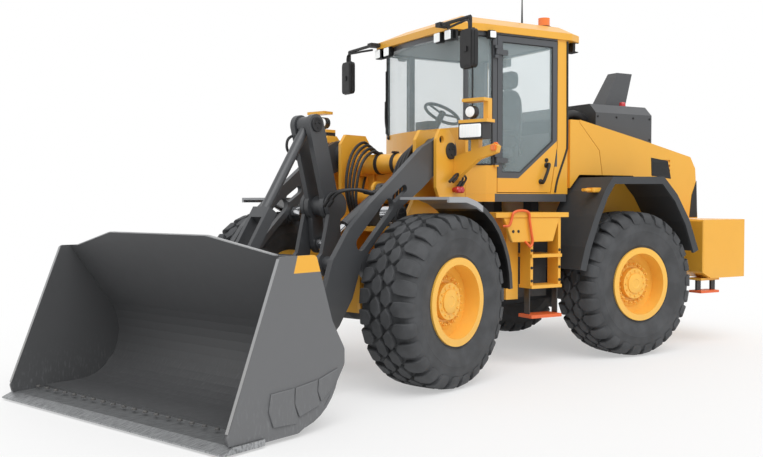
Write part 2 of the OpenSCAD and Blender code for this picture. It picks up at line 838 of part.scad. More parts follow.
// Tanks and ladder
module side_tanks() {
  color([0.95, 0.65, 0.1]) in_rear() both() {
    box(tank_split, tank_front, tank_in, tank_out, tank_low, tank_high);
    box(tank_rear, tank_split + over, tank_in, tank_recess, tank_low, tank_high);
    for (z = [tank_low, rail_top - 2 * plate])
      box(tank_rear, tank_rear + 2 * plate, rail_out + seam, tank_in + over, z, z + plate);
    box(tank_rear, platform_front, tank_in, ladder_out, tank_high - over, tank_high + plate);
    box(platform_front - over, platform_nose, ladder_in, ladder_out, tank_high - over, tank_high + plate);
  }
}
module ladder() {
  color([0.95, 0.62, 0.1]) in_rear() both() {
    for (x = [ladder_rear, ladder_front - ladder_rail]) {
      box(x, x + ladder_rail, ladder_in + ladder_edge, ladder_out - ladder_edge, rung_z[0], tank_high - over - seam);
      box(x, x + strap_t, ladder_in + step_strap, ladder_out - step_strap, ladder_low, rung_z[0] + over);
    }
    for (z = concat([ladder_low], rung_z)) box(ladder_rear, ladder_front, ladder_in, ladder_out, z, z + rung_t);
    box(ladder_rear, ladder_front, tank_recess + seam, ladder_in + over, rung_z[1], rung_z[1] + rung_t);
  }
}

// Cab
function bow(half, front, rise) = [for (i = [-6:6]) let(t = i / 6) [front + rise * (1 - t * t), t * half]];
function cab_plan(inset) = let(h = cab_w / 2 - inset, f = cab_front - inset, r = cab_rear + inset)
  concat([[r, -h + cab_taper], [r + cab_taper, -h], [f - 6 * cab_taper, -h]], bow(h - cab_taper, f, cab_bow),
  [[f - 6 * cab_taper, h], [r + cab_taper, h], [r, h - cab_taper]]);
wall_low = floor_z + sill_t + seam;
wall_top = floor_z + cab_h;
function door_points(gap) = [[door_front + gap, wall_low - gap + cab_h * door_low_share / 6],
  [door_front + gap, wall_top - header / 2 + gap], [door_rear - gap, wall_top - header / 2 + gap],
  [door_rear - gap, wall_low + cab_h * door_kink_share * 0.85], [door_foot - gap, wall_low - gap + cab_h * door_low_share / 6]];
module cab_floor() {
  half = cab_w / 2;
  color([0.33, 0.33, 0.34]) in_rear() translate([0, 0, floor_z]) linear_extrude(sill_t) intersection() {
    polygon(cab_plan(0));
    translate([cab_rear + floor_set, -half - over]) square([cab_l + 2 * cab_bow, cab_w + 2 * over]);
  }
}
module cab_shell() {
  half = cab_w / 2;
  top = wall_top - header;
  side_low = wall_low + cab_h * quarter_low_share;
  quarter = [[door_front + frame_w + run_gap, side_low], [door_front + frame_w + run_gap, top],
    [cab_front - pillar_w, top], [cab_front - pillar_w, side_low]];
  color([0.95, 0.65, 0.1]) in_rear() union() {
    for (k = hinge_shares) translate([0, 0, wall_low + cab_h * k]) {
      for (z = [0, hinge_h - hinge_lug]) box(hinge_x - hinge_r - over / 2, hinge_x + hinge_lug, half - over,
        hinge_y + hinge_r + over, z, z + hinge_lug);
      translate([hinge_x, hinge_y, 0]) cylinder(r = hinge_r, h = hinge_h, $fn = mid);
    }
    difference() {
      translate([0, 0, wall_low]) linear_extrude(wall_top - wall_low) polygon(cab_plan(0));
      translate([0, 0, wall_low - over]) linear_extrude(wall_top - wall_low + 2 * over) polygon(cab_plan(cab_wall));
      upright(half - 3 * cab_wall, 4 * cab_wall) polygon(door_points(run_gap));
      upright(half - 3 * cab_wall, 4 * cab_wall) polygon(quarter);
      upright(-half - cab_wall, 4 * cab_wall) polygon(quarter);
      upright(-half - cab_wall, 4 * cab_wall) polygon([[door_front, side_low], [door_front, top],
        [door_rear, top], [door_rear, side_low]]);
      box(cab_front - cab_wall * 2 + cab_wall / 2, cab_front + 2 * cab_bow, -half + cab_taper + pillar_w,
        half - cab_taper - pillar_w, wall_low + cab_h * screen_low_share, top);
      box(cab_rear - over, cab_rear + 2 * cab_wall, -half + 3 * cab_wall, half - 3 * cab_wall,
        wall_low + cab_h * rear_low_share, top);
    }
  }
}
module cab_glass() {
  half = cab_w / 2;
  top = wall_top - header - seam;
  side_low = wall_low + cab_h * quarter_low_share + seam;
  screen_low = wall_low + cab_h * screen_low_share + seam;
  inner = half - cab_taper - pillar_w - seam;
  color([0.7, 0.82, 0.78, 0.4]) in_rear() {
    translate([0, 0, screen_low]) linear_extrude(top - screen_low) intersection() {
      difference() {
        polygon(cab_plan(glass_t));
        polygon(cab_plan(2 * glass_t));
      }
      translate([cab_front - cab_wall, -inner]) square([2 * cab_bow, 2 * inner]);
    }
    both() translate([0, 0, side_low]) linear_extrude(top - side_low) intersection() {
      difference() {
        polygon(cab_plan(glass_t));
        polygon(cab_plan(2 * glass_t));
      }
      translate([door_front + frame_w + run_gap + seam, 0])
        square([cab_front - door_front - frame_w - pillar_w - run_gap - 2 * seam, half]);
    }
    box(door_rear + seam, door_front - seam, -half + glass_t, -half + 2 * glass_t, side_low, top);
    box(cab_rear + glass_t, cab_rear + 2 * glass_t, -half + 3 * cab_wall + seam, half - 3 * cab_wall - seam,
      wall_low + cab_h * rear_low_share + seam, top);
  }
}
module cab_roof() {
  half = cab_w / 2;
  z = wall_top + seam;
  wide = half + plate / 2;
  corner_x = cab_front - 4 * plate;
  plan = rounded([[roof_rear, -half + cab_wall], [roof_rear, half - cab_wall], [cab_rear, wide], [corner_x, wide],
    [roof_front, half - cab_wall], [roof_front, -half + cab_wall], [corner_x, -wide], [cab_rear, -wide]], roof_round);
  top = [[roof_rear + roof_back_inset, -half + roof_inset], [roof_rear + roof_back_inset, half - roof_inset],
    [roof_front - roof_inset, half - roof_inset], [roof_front - roof_inset, -half + roof_inset]];
  color([0.95, 0.65, 0.1]) in_rear() union() {
    translate([0, 0, z]) linear_extrude(roof_t) polygon(plan);
    hull() {
      translate([0, 0, z + roof_t - over]) linear_extrude(over) polygon(plan);
      translate([0, 0, z + roof_t + roof_crown - over]) linear_extrude(over) polygon(top);
    }
  }
}
module seat() {
  z = floor_z + sill_t + seam;
  back = -seat_l / 2;
  high = seat_z + back_h;
  color([0.15, 0.15, 0.16]) in_rear() translate([seat_x, 0, z]) union() {
    box(-seat_l / 3, seat_l / 3, -seat_w / 3, seat_w / 3, 0, seat_z - cushion_t);
    upright(-seat_w / 2, seat_w) polygon(rounded([[back, seat_z - cushion_t - over],
      [seat_l / 2, seat_z - cushion_t - over], [seat_l / 2, seat_z], [back, seat_z]], seat_round));
    upright(-seat_w / 2, seat_w) polygon(rounded([[back + over, seat_z - cushion_t], [back + back_t, seat_z - over],
      [back + back_t / 2, high], [back - back_t / 2 + over, high]], seat_round));
    upright(-head_w / 2, head_w) polygon(rounded([[back - back_t / 2 + over, high - over], [back + back_t / 2, high - over],
      [back + back_t / 3, high + head_h], [back - back_t / 2, high + head_h]], seat_round));
  }
}
module console() {
  z = floor_z + sill_t + seam;
  l = 3 * plate;
  color([0.2, 0.2, 0.21]) in_rear() translate([console_x, 0, z]) union() {
    upright(-3 * plate, 6 * plate) polygon([[l, 0], [2 * l, 0], [2 * l, 6 * l], [l, 6 * l]]);
    translate([l, 0, 5 * l]) rotate([0, -30, 0]) {
      cylinder(r = ring_r * 2, h = 2.2 * l, $fn = mid);
      translate([0, 0, 2 * l]) rotate_extrude($fn = mid) translate([wheel_ring_r, 0]) circle(r = ring_r, $fn = small);
      for (a = [0, 120, 240]) rotate([0, 0, a]) translate([0, 0, 2 * l]) rotate([0, 90, 0])
        cylinder(r = ring_r * 0.7, h = wheel_ring_r, $fn = small);
    }
  }
}
module roof_lamps() {
  half = cab_w / 2;
  z = wall_top - lamp_h;
  color([0.85, 0.86, 0.85]) in_rear() for (y = [-half + 3 * lamp_w, half - 3 * lamp_w, -half + lamp_w, half - lamp_w])
    for (x = [roof_front - lamp_d - over, roof_rear + plate / 2])
      if (x < 0 || abs(y) > 5 * lamp_w) box(x, x + lamp_d, y - lamp_w / 2, y + lamp_w / 2, z, wall_top);
}
module mirrors() {
  half = cab_w / 2;
  z = wall_top + seam;
  w = mirror_w / 2;
  color([0.08, 0.08, 0.085]) in_rear() both() {
    translate([mirror_x, mirror_y, z - mirror_h - 2 * plate]) rotate([90, 0, 90]) linear_extrude(mirror_t)
      polygon(rounded([[-w, 0], [w, 0], [w, mirror_h], [-w, mirror_h]], mirror_round));
    translate([roof_front + seam, half - 4 * plate, z + arm_r])
      cube([mirror_x + plate - roof_front, 2 * plate, plate]);
    translate([mirror_x + arm_r, half - 3 * plate, z + 2 * arm_r]) rotate([-90, 0, 0])
      cylinder(r = arm_r, h = mirror_y - half + 3 * plate, $fn = mid);
    translate([mirror_x + arm_r, mirror_y, z - mirror_h / 2])
      cylinder(r = arm_r, h = mirror_h / 2 + 2 * arm_r, $fn = mid);
  }
}
module beacon() {
  z = wall_top + 2 * seam + roof_t + roof_crown;
  color([0.95, 0.4, 0.05]) in_rear() {
    translate([beacon_at.x, beacon_at.y, z]) cylinder(r = beacon_r, h = beacon_h, $fn = mid);
    translate([aerial_at.x, aerial_at.y, z]) cylinder(r1 = 2 * aerial_r, r2 = aerial_r, h = aerial_h, $fn = mid);
  }
}
module cab_door() {
  half = cab_w / 2;
  low = wall_low + cab_h * quarter_low_share * 0.75;
  kink = wall_low + cab_h * door_kink_share * 0.95;
  top = wall_top - header / 2 - frame_w;
  color([0.25, 0.26, 0.27]) in_rear() union() {
    for (k = hinge_shares) translate([0, 0, wall_low + cab_h * k + hinge_lug + run_gap]) difference() {
      union() {
        translate([hinge_x, hinge_y, 0])
          cylinder(r = 2 * hinge_r - over / 2, h = hinge_h - 2 * hinge_lug - 2 * run_gap, $fn = mid);
        box(door_front - 2 * frame_w, hinge_x, half + over / 2, hinge_y, 0, hinge_h - 2 * hinge_lug - 2 * run_gap);
        box(door_front - 2 * frame_w, door_front - over, half - over, hinge_y, 0,
          hinge_h - 2 * hinge_lug - 2 * run_gap);
      }
      translate([hinge_x, hinge_y, -over]) cylinder(r = hinge_r + pin_gap, h = hinge_h, $fn = mid);
    }
    difference() {
      upright(half - door_t, door_t) polygon(door_points(0));
      upright(half - 2 * door_t, 3 * door_t) polygon([[door_front - frame_w, low], [door_front - frame_w, top],
        [door_rear + frame_w, top], [door_rear + frame_w, kink], [door_front - 5 * frame_w, low]]);
    }
  }
}
module door_glass() {
  half = cab_w / 2;
  low = wall_low + cab_h * quarter_low_share * 0.75 + seam;
  kink = wall_low + cab_h * door_kink_share * 0.95;
  top = wall_top - header / 2 - frame_w - seam;
  color([0.7, 0.82, 0.78, 0.4]) in_rear() upright(half - 2 * glass_t, glass_t) polygon([[door_front - frame_w - seam, low],
    [door_front - frame_w - seam, top], [door_rear + frame_w + seam, top], [door_rear + frame_w + seam, kink + seam],
    [door_front - 5 * frame_w - seam, low]]);
}

// Front frame
module front_frame() {
  spine = [[spine_rear, frame_low], [spine_rear, notch_low], [notch_front, notch_low], [notch_front, notch_high],
    [spine_rear, notch_high], [spine_rear, frame_high], [spine_front, frame_high], [spine_front, frame_low]];
  w = tower_in - seam;
  color([0.95, 0.65, 0.1]) in_front() difference() {
    union() {
      both() {
        upright(spine_in, spine_out - spine_in) polygon(spine);
        for (z = [steer_z - steer_eye_t / 2 - run_gap - steer_lug, steer_z + steer_eye_t / 2 + run_gap])
          box(steer_end.x - steer_lug_w / 2, steer_end.x + steer_lug_w / 2, spine_out - over,
            steer_end.y + steer_lug_w / 2, z, z + steer_lug);
        upright(tilt_lug_in, tilt_lug_t) {
          disc(tilt_base, tilt_lug_r);
          strip(tilt_tube, tilt_base, tilt_tube_r * lug_neck_share);
        }
      }
      box(spine_rear, spine_rear + plate, -spine_out, spine_out, frame_low, notch_low);
      box(spine_rear, spine_rear + plate, -spine_out, spine_out, notch_high, frame_high);
      box(wall_x, wall_x + plate, -w, w, tower_low, frame_high);
      box(wall_x, wall_x + deck_l, -w, w, deck_low, deck_low + deck_t);
      box(nose_wall_x, nose_wall_x + plate, -w, w, nose_wall_z, nose_wall_z + nose_wall_h);
      across(tilt_tube, tilt_tube_r, -w, w);
      across(tilt_base, tilt_pin_r, -tilt_lug_in - tilt_lug_t, tilt_lug_in + tilt_lug_t);
      for (z = [pivot_low, pivot_high]) translate([0, 0, z - tongue_t / 2]) linear_extrude(tongue_t) difference() {
        union() {
          circle(r = fork_r, $fn = fine);
          translate([0, -fork_r * tongue_share]) square([spine_rear + plate, 2 * fork_r * tongue_share]);
        }
        circle(r = pivot_pin_r + pin_gap, $fn = fine);
      }
    }
    translate([spine_rear - plate, 0, axle_z]) rotate([0, 90, 0]) cylinder(r = shaft_hole_r, h = wall_x, $fn = mid);
  }
}
// One side of the tower: inner plate, cheek and the pins between them
module tower() {
  plates = sized(tower_shares, [tower_rear, tower_low], [tower_l, tower_high - tower_low]);
  cheek = sized(cheek_shares, [cheek_rear, cheek_low], [cheek_l, tower_high - cheek_low]);
  head = lift_y + lift_eye_half + run_gap;
  color([0.95, 0.65, 0.1]) difference() {
    union() {
      upright(tower_in, tower_plate) polygon(plates);
      upright(outer_in, outer_plate) polygon(cheek);
      box(cheek_rear, cheek_rear + plate, tower_in, outer_in + over, cheek_low, cheek[8].y);
      box(cheek_rear, cheek_rear + 5 * plate, tower_in, outer_in + over, cheek_low, cheek_low + sheet);
      across(boom_pin, boom_pin_r, tower_in, outer_in + outer_plate);
      across(lift_base, lift_pin_r, tower_in, head);
      across(lift_base, lift_head_r, head, head + run_gap);
    }
    across(lift_hole, lift_hole_r, outer_in - over, outer_in + outer_plate + over, mid);
  }
}
module tower_left() {
  in_front() tower();
}
module tower_right() {
  in_front() mirror([0, 1, 0]) tower();
}
module front_fenders() {
  top = front_fender_r + axle_z;
  span = front_fender_angles[0] - front_fender_angles[8];
  function ring(off) = [for (a = front_fender_angles)
    (front_fender_r + front_fender_rise * (front_fender_angles[0] - a) / span - off) * [cos(a), sin(a)]];
  function back_to(p) = [for (i = [len(p) - 1:-1:0]) p[i]];
  function band(t) = concat(ring(0), [[4 * plate, ring(0)[8].y]], [[4 * plate, ring(t)[8].y]], back_to(ring(t)));
  color([0.45, 0.47, 0.48]) in_front() both() union() {
    translate([front_x, 0, axle_z]) {
      upright(front_fender_in, front_fender_out - front_fender_in) polygon(band(front_fender_t));
      upright(front_fender_out - front_fender_t, front_fender_t) polygon(band(front_fender_lip));
    }
    box(front_x - 12 * plate, front_x - 10 * plate, outer_in + outer_plate + seam, front_fender_in + plate,
      top - 3 * plate, top + plate);
  }
}
// Headlamps on arms from the cheeks; sizes across and up in the front half
module headlamps() {
  module slab(b, x0, x1) {
    box(x0, x1, b[0], b[1], b[2], b[3]);
  }
  x1 = head_x + head_depth;
  color([0.9, 0.62, 0.1]) in_front() both() union() {
    translate([head_x, 0, 0]) rotate([90, 0, 90]) linear_extrude(head_t) polygon(head_arm);
    box(head_x, head_x + head_t, head_stalk[0], head_stalk[1], head_arm[6].y, head_case[2] + over);
    slab(head_case, head_x, x1);
    slab(head_shelf - [0, 0, over, 0], head_x, x1);
    slab(head_post - [0, 0, over, 0], head_x, head_x + head_t);
    slab(head_bar, head_x, x1);
    translate([head_x + head_t / 2, round_lamp.x, round_lamp.y]) rotate([0, 90, 0])
      cylinder(r = round_lamp_r, h = head_t, $fn = mid);
    translate([head_x + head_t, round_lamp.x, head_shelf[3] - over])
      cylinder(r = round_stalk_r, h = round_lamp.y - head_shelf[3], $fn = mid);
  }
}

// Lifting gear
module boom() {
  arm = sized(boom_shares, boom_pin, [boom_l, boom_drop]);
  color([0.19, 0.2, 0.21]) in_front() difference() {
    union() {
      both() {
        upright(boom_in, boom_t) difference() {
          union() {
            polygon(arm);
            disc(boom_pin, boom_hub_r);
            disc(bucket_pin, boom_tip_r);
            disc(beam_at, beam_hub_r);
            disc(lift_end, lift_boss_r);
          }
          polygon(slot_points(window_a, window_b, window_r));
          polygon(slot_points(slot_a, slot_b, slot_r));
        }
        across(boom_pin, boom_hub_r * 0.8, boom_hub_in, boom_in + over);
        upright(bracket_in, bracket_t) {
          disc(lever_pin, bracket_r);
          strip(lever_pin, beam_at, bracket_w);
          disc(beam_at, beam_hub_r);
        }
      }
      across(lever_pin, boom_tube_r, -bracket_in - over, bracket_in + over);
      across(beam_at, beam_r, -boom_in - over, boom_in + over);
    }
    both() {
      across(boom_pin, boom_pin_r + pin_gap, boom_hub_in - over, boom_in + boom_t + over);
      across(bucket_pin, bucket_pin_r + pin_gap, boom_in - over, boom_in + boom_t + over);
    }
  }
}
module tilt_lever() {
  top = link_top;
  low = tilt_end;
  color([0.19, 0.2, 0.21]) in_front() difference() {
    union() {
      both() upright(lever_in, lever_t) {
        disc(lever_pin, lever_hub_r);
        disc(top, lever_top_r);
        disc(low, lever_low_r);
        strip(lever_pin, top, 2 * lever_top_r);
        strip(lever_pin, low, 2 * lever_low_r);
      }
      across(top, link_pin_r, -lever_in - lever_t, lever_in + lever_t);
      across(lever_pin, boom_tube_r + lever_boss_t, -lever_in - over, lever_in + over);
    }
    across(lever_pin, boom_tube_r + pin_gap, -lever_in - lever_t - over, lever_in + lever_t + over);
  }
}
module tilt_link() {
  a = angle_of(link_low - link_top);
  l = norm(link_low - link_top);
  color([0.19, 0.2, 0.21]) in_front() translate([link_top.x, 0, link_top.y]) rotate([0, -a, 0]) difference() {
    union() {
      across([0, 0], link_eye_r, -link_eye_half, link_eye_half);
      rotate([0, 90, 0]) cylinder(r = link_r, h = crown_at + over, $fn = mid);
      box(crown_at, crown_at + crown_l, -fork_in - fork_leg, fork_in + fork_leg, -fork_leg_w / 2, fork_leg_w / 2);
      both() {
        box(crown_at, l, fork_in, fork_in + fork_leg, -fork_leg_w / 2, fork_leg_w / 2);
        across([l, 0], fork_leg_w / 2, fork_in, fork_in + fork_leg);
        across([l, 0], fork_pad_r, fork_pad_in, fork_in + over);
      }
    }
    across([0, 0], link_pin_r + pin_gap, -link_eye_half - over, link_eye_half + over);
  }
}
// Cylinder barrel along X from its eye at the origin, eye axis along Y; the neck is a share of the eye radius
module barrel(r, l, eye_r, eye_half, pin_r, rod_r, neck) {
  start = eye_r * neck;
  bore = max(start, eye_r) + bore_end;
  difference() {
    union() {
      across([0, 0], eye_r, -eye_half, eye_half, mid);
      translate([start, 0, 0]) rotate([0, 90, 0]) cylinder(r = r, h = l - start, $fn = mid);
      if (neck > 1) rotate([0, 90, 0]) cylinder(r = eye_half * 0.9, h = start + over, $fn = mid);
    }
    across([0, 0], pin_r + pin_gap, -r - eye_half, r + eye_half, mid);
    translate([bore, 0, 0]) rotate([0, 90, 0]) cylinder(r = rod_r + pin_gap, h = l, $fn = mid);
  }
}
// Rod along X ending in its eye at the origin
module rod(r, l, eye_r, eye_half, pin_r) {
  difference() {
    union() {
      across([0, 0], eye_r, -eye_half, eye_half, mid);
      translate([-l, 0, 0]) rotate([0, 90, 0]) cylinder(r = r, h = l - eye_r * 0.7, $fn = mid);
    }
    across([0, 0], pin_r, -eye_half - over, eye_half + over, mid);
  }
}
module tilt_barrel() {
  color([0.15, 0.15, 0.16]) in_front() translate([tilt_base.x, 0, tilt_base.y])
    rotate([0, -angle_of(tilt_end - tilt_base), 0]) 
      barrel(tilt_r, tilt_barrel, tilt_eye_r, tilt_eye_half, tilt_pin_r, tilt_rod_r, tilt_neck_share);
}
module tilt_rod() {
  color([0.75, 0.76, 0.77]) in_front() translate([tilt_end.x, 0, tilt_end.y])
    rotate([0, -angle_of(tilt_end - tilt_base), 0])
      rod(tilt_rod_r, norm(tilt_end - tilt_base) - tilt_eye_r * tilt_neck_share - 2 * sheet, tilt_eye_r,
        tilt_eye_half, tilt_pin_r);
}
module lift_barrel(side) {
  color([0.15, 0.15, 0.16]) in_front() translate([lift_base.x, side * lift_y, lift_base.y])
    rotate([0, -angle_of(lift_end - lift_base), 0]) 
      barrel(lift_r, lift_barrel, lift_eye_r, lift_eye_half, lift_pin_r, lift_rod_r, lift_neck_share);
}
module lift_rod(side) {
  color([0.75, 0.76, 0.77]) in_front() translate([lift_end.x, side * lift_y, lift_end.y])
    rotate([0, -angle_of(lift_end - lift_base), 0]) rod(lift_rod_r, lift_rod_l, lift_eye_r, lift_eye_half, lift_pin_r);
}
module lift_barrel_left() {
  lift_barrel(1);
}
module lift_barrel_right() {
  lift_barrel(-1);
}
module lift_rod_left() {
  lift_rod(1);
}
module lift_rod_right() {
  lift_rod(-1);
}
// Steering cylinders lie flat, their eyes' axes upright
module steer_part(side, outer) {
  a = [steer_base.x, side * steer_base.y];
  b = turn([steer_end.x, side * steer_end.y], steer_angle);
  at = outer ? b : a;
  in_rear() translate([at.x, at.y, steer_z]) rotate([0, 0, angle_of(b - a)]) rotate([90, 0, 0]) children();
}
module steer_barrel_left() {
  color([0.15, 0.15, 0.16]) steer_part(1, false)
    barrel(steer_r, steer_barrel, steer_eye_r, steer_eye_t / 2, steer_pin_r, steer_rod_r, steer_neck_share);
}
module steer_barrel_right() {
  color([0.15, 0.15, 0.16]) steer_part(-1, false)
    barrel(steer_r, steer_barrel, steer_eye_r, steer_eye_t / 2, steer_pin_r, steer_rod_r, steer_neck_share);
}
module steer_rod_left() {
  color([0.75, 0.76, 0.77]) steer_part(1, true) rod(steer_rod_r, steer_rod_l, steer_eye_r, steer_eye_t / 2, steer_pin_r);
}
module steer_rod_right() {
  color([0.75, 0.76, 0.77]) steer_part(-1, true) rod(steer_rod_r, steer_rod_l, steer_eye_r, steer_eye_t / 2, steer_pin_r);
}

// Coupler and bucket
module coupler() {
  color([0.16, 0.165, 0.17]) in_front() union() {
    box(coupler_x, coupler_x + coupler_t, -coupler_half, coupler_half, coupler_low, coupler_high);
    box(coupler_x, coupler_x + coupler_t, -coupler_mid, coupler_mid, coupler_high - over, coupler_peak);
    upright(-link_lug_half, 2 * link_lug_half) {
      disc(link_low, link_lug_r);
      polygon([[link_low.x, link_low.y + link_lug_r], [link_low.x - link_lug_r / 2, link_low.y - link_lug_r / 2],
        [coupler_x + over, coupler_high], [coupler_x + over, coupler_peak]]);
    }
    both() {
      for (y = [boom_in - run_gap - lug_t, boom_in + boom_t + run_gap]) upright(y, lug_t) {
        disc(bucket_pin, lug_r);
        polygon([[bucket_pin.x, bucket_pin.y - lug_r], [coupler_x + over, coupler_low],
          [coupler_x + over, coupler_high], [bucket_pin.x, bucket_pin.y + lug_r]]);
      }
      across(bucket_pin, bucket_pin_r, boom_in - run_gap - lug_t, boom_in + boom_t + run_gap + lug_t);
    }
  }
}
bucket_mid = [bucket_back + bucket_r, bucket_floor + bucket_r];
function back_point(r) = bucket_mid + r * [cos(90 + back_lean), sin(90 + back_lean)];
function up_back(r, z) = let(p = back_point(r)) [p.x + (z - p.y) / tan(back_lean), z];
function bucket_section(r, top) = concat([[edge_tip_x - edge_l, bucket_mid.y - r]],
  [for (i = [0:12]) bucket_mid + r * [cos(270 - i / 12 * (180 - back_lean)), sin(270 - i / 12 * (180 - back_lean))]],
  [up_back(r, top)]);
module bucket() {
  inner = bucket_r - sheet;
  half = bucket_w / 2;
  low = bucket_section(bucket_r, bucket_floor + bucket_h);
  high = bucket_section(inner, bucket_floor + bucket_h);
  side = sized(side_shares, [bucket_back, bucket_floor], [bucket_l, bucket_h]);
  function reversed(p) = [for (i = [len(p) - 1:-1:0]) p[i]];
  color([0.3, 0.31, 0.32]) in_front() union() {
    upright(-half + over, bucket_w - 2 * over) polygon(concat(low, reversed(high)));
    both() upright(half - side_t, side_t) polygon(rounded(side, side_rounds));
    intersection() {
      upright(-half, bucket_w) polygon([up_back(bucket_r, bucket_floor + bucket_h - over),
        up_back(inner, bucket_floor + bucket_h - over),
        up_back(inner, guard_top), up_back(bucket_r, guard_top)]);
      translate([edge_tip_x, 0, bucket_floor + bucket_h - 2 * over]) rotate([90, 0, -90]) linear_extrude(edge_tip_x)
        polygon([[-half + 3 * plate, 0], [half - 3 * plate, 0],
        [guard_half, guard_top - bucket_floor - bucket_h + 3 * over],
        [-guard_half, guard_top - bucket_floor - bucket_h + 3 * over]]);
    }
    box(coupler_x + coupler_t + seam, coupler_x + coupler_t + seam + sheet, -coupler_half, coupler_half,
      coupler_low, coupler_high);
    both() for (y = [coupler_half - rib_t, coupler_half * 0.45]) upright(y, rib_t) difference() {
      polygon([[coupler_x + coupler_t + seam, coupler_low], [bucket_mid.x, coupler_low],
        [up_back(bucket_r, coupler_high).x, coupler_high],
        [coupler_x + coupler_t + seam, coupler_high]]);
      polygon(concat(bucket_section(inner + sheet / 2, bucket_floor + bucket_h),
        [[edge_tip_x, bucket_floor + bucket_h]]));
    }
  }
}
module cutting_edge() {
  x0 = edge_tip_x - edge_l;
  color([0.55, 0.56, 0.57]) in_front() upright(-edge_w / 2, edge_w) polygon([[x0 + seam, edge_z], [edge_tip_x, edge_z],
    [edge_tip_x, edge_z + edge_t / 4], [edge_tip_x - edge_t * 2, edge_z + edge_t], [x0 + seam, edge_z + edge_t]]);
}

rear_chassis();
rear_axle();
gearbox();
engine_block();
counterweight();
tow_hitch();
rear_steps();
rear_cowl();
rear_fenders();
exhaust_box();
side_tanks();
ladder();
cab_floor();
cab_shell();
cab_roof();
cab_glass();
seat();
console();
roof_lamps();
mirrors();
beacon();
cab_door();
door_glass();
engine_hood();
front_frame();
tower_left();
tower_right();
front_axle();
front_fenders();
headlamps();
boom();
tilt_lever();
tilt_link();
coupler();
bucket();
cutting_edge();
tilt_barrel();
tilt_rod();
lift_barrel_left();
lift_barrel_right();
lift_rod_left();
lift_rod_right();
steer_barrel_left();
steer_barrel_right();
steer_rod_left();
steer_rod_right();
wheel_front_left();
wheel_front_right();
wheel_rear_left();
wheel_rear_right();
tyre_front_left();
tyre_front_right();
tyre_rear_left();
tyre_rear_right();
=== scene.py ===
"""Looks of the articulated wheel loader: finishes, tyres, hoses, lamps and small fittings."""

import json
import math

import bmesh
import bpy
from mathutils import Matrix, Vector


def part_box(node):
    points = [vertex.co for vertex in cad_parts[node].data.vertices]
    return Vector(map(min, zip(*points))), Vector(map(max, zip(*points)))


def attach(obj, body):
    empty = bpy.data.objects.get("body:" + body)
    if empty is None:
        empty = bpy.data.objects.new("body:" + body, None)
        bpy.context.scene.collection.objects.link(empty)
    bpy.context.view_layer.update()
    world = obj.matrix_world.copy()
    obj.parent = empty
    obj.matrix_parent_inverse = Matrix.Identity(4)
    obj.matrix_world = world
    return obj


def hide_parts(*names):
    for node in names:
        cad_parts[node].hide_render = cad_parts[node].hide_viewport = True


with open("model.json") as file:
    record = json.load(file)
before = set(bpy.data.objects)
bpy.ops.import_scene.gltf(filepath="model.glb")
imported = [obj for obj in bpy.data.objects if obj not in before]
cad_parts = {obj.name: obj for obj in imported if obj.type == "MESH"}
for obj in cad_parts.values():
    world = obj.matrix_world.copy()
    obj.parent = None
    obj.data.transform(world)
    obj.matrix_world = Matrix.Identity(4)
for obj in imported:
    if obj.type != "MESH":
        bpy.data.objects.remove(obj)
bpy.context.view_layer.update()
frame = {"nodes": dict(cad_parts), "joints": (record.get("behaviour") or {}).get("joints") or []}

# The two halves: metres from the articulation pivot on the ground, X forward, Y left, Z up
STEER = math.radians(20)
PIVOT = next(Vector(j["pos_m"]) for j in frame["joints"] if j["name"] == "steer")
REAR = Matrix.Translation((PIVOT.x, PIVOT.y, 0))
FRONT = REAR @ Matrix.Rotation(STEER, 4, "Z")
SIDES = {"left": 1, "right": -1}
AHEAD, ACROSS, UP = (1, 0, 0), (0, 1, 0), (0, 0, 1)


# Shader maths


class Wire:
    """One shader socket. Sums and products of wires and numbers add Math nodes."""

    def __init__(self, look, socket):
        self.look = look
        self.socket = socket

    def math(self, operation, *terms):
        return self.look.node("Math", {"operation": operation}, dict(enumerate(terms)))

    def __add__(self, other):
        return self.math("ADD", self, other)

    def __sub__(self, other):
        return self.math("SUBTRACT", self, other)

    def __rsub__(self, other):
        return self.math("SUBTRACT", other, self)

    def __mul__(self, other):
        return self.math("MULTIPLY", self, other)

    __radd__ = __add__
    __rmul__ = __mul__

    def size(self):
        return self.math("ABSOLUTE", self)

    def rise(self, low, high):
        """0 below low, 1 above high, smooth between."""
        sockets = {"Value": self, "From Min": low, "From Max": high}
        return self.look.node("MapRange", {"interpolation_type": "SMOOTHSTEP"}, sockets)

    def fall(self, low, high):
        """1 below low, 0 above high, smooth between."""
        return 1 - self.rise(low, high)


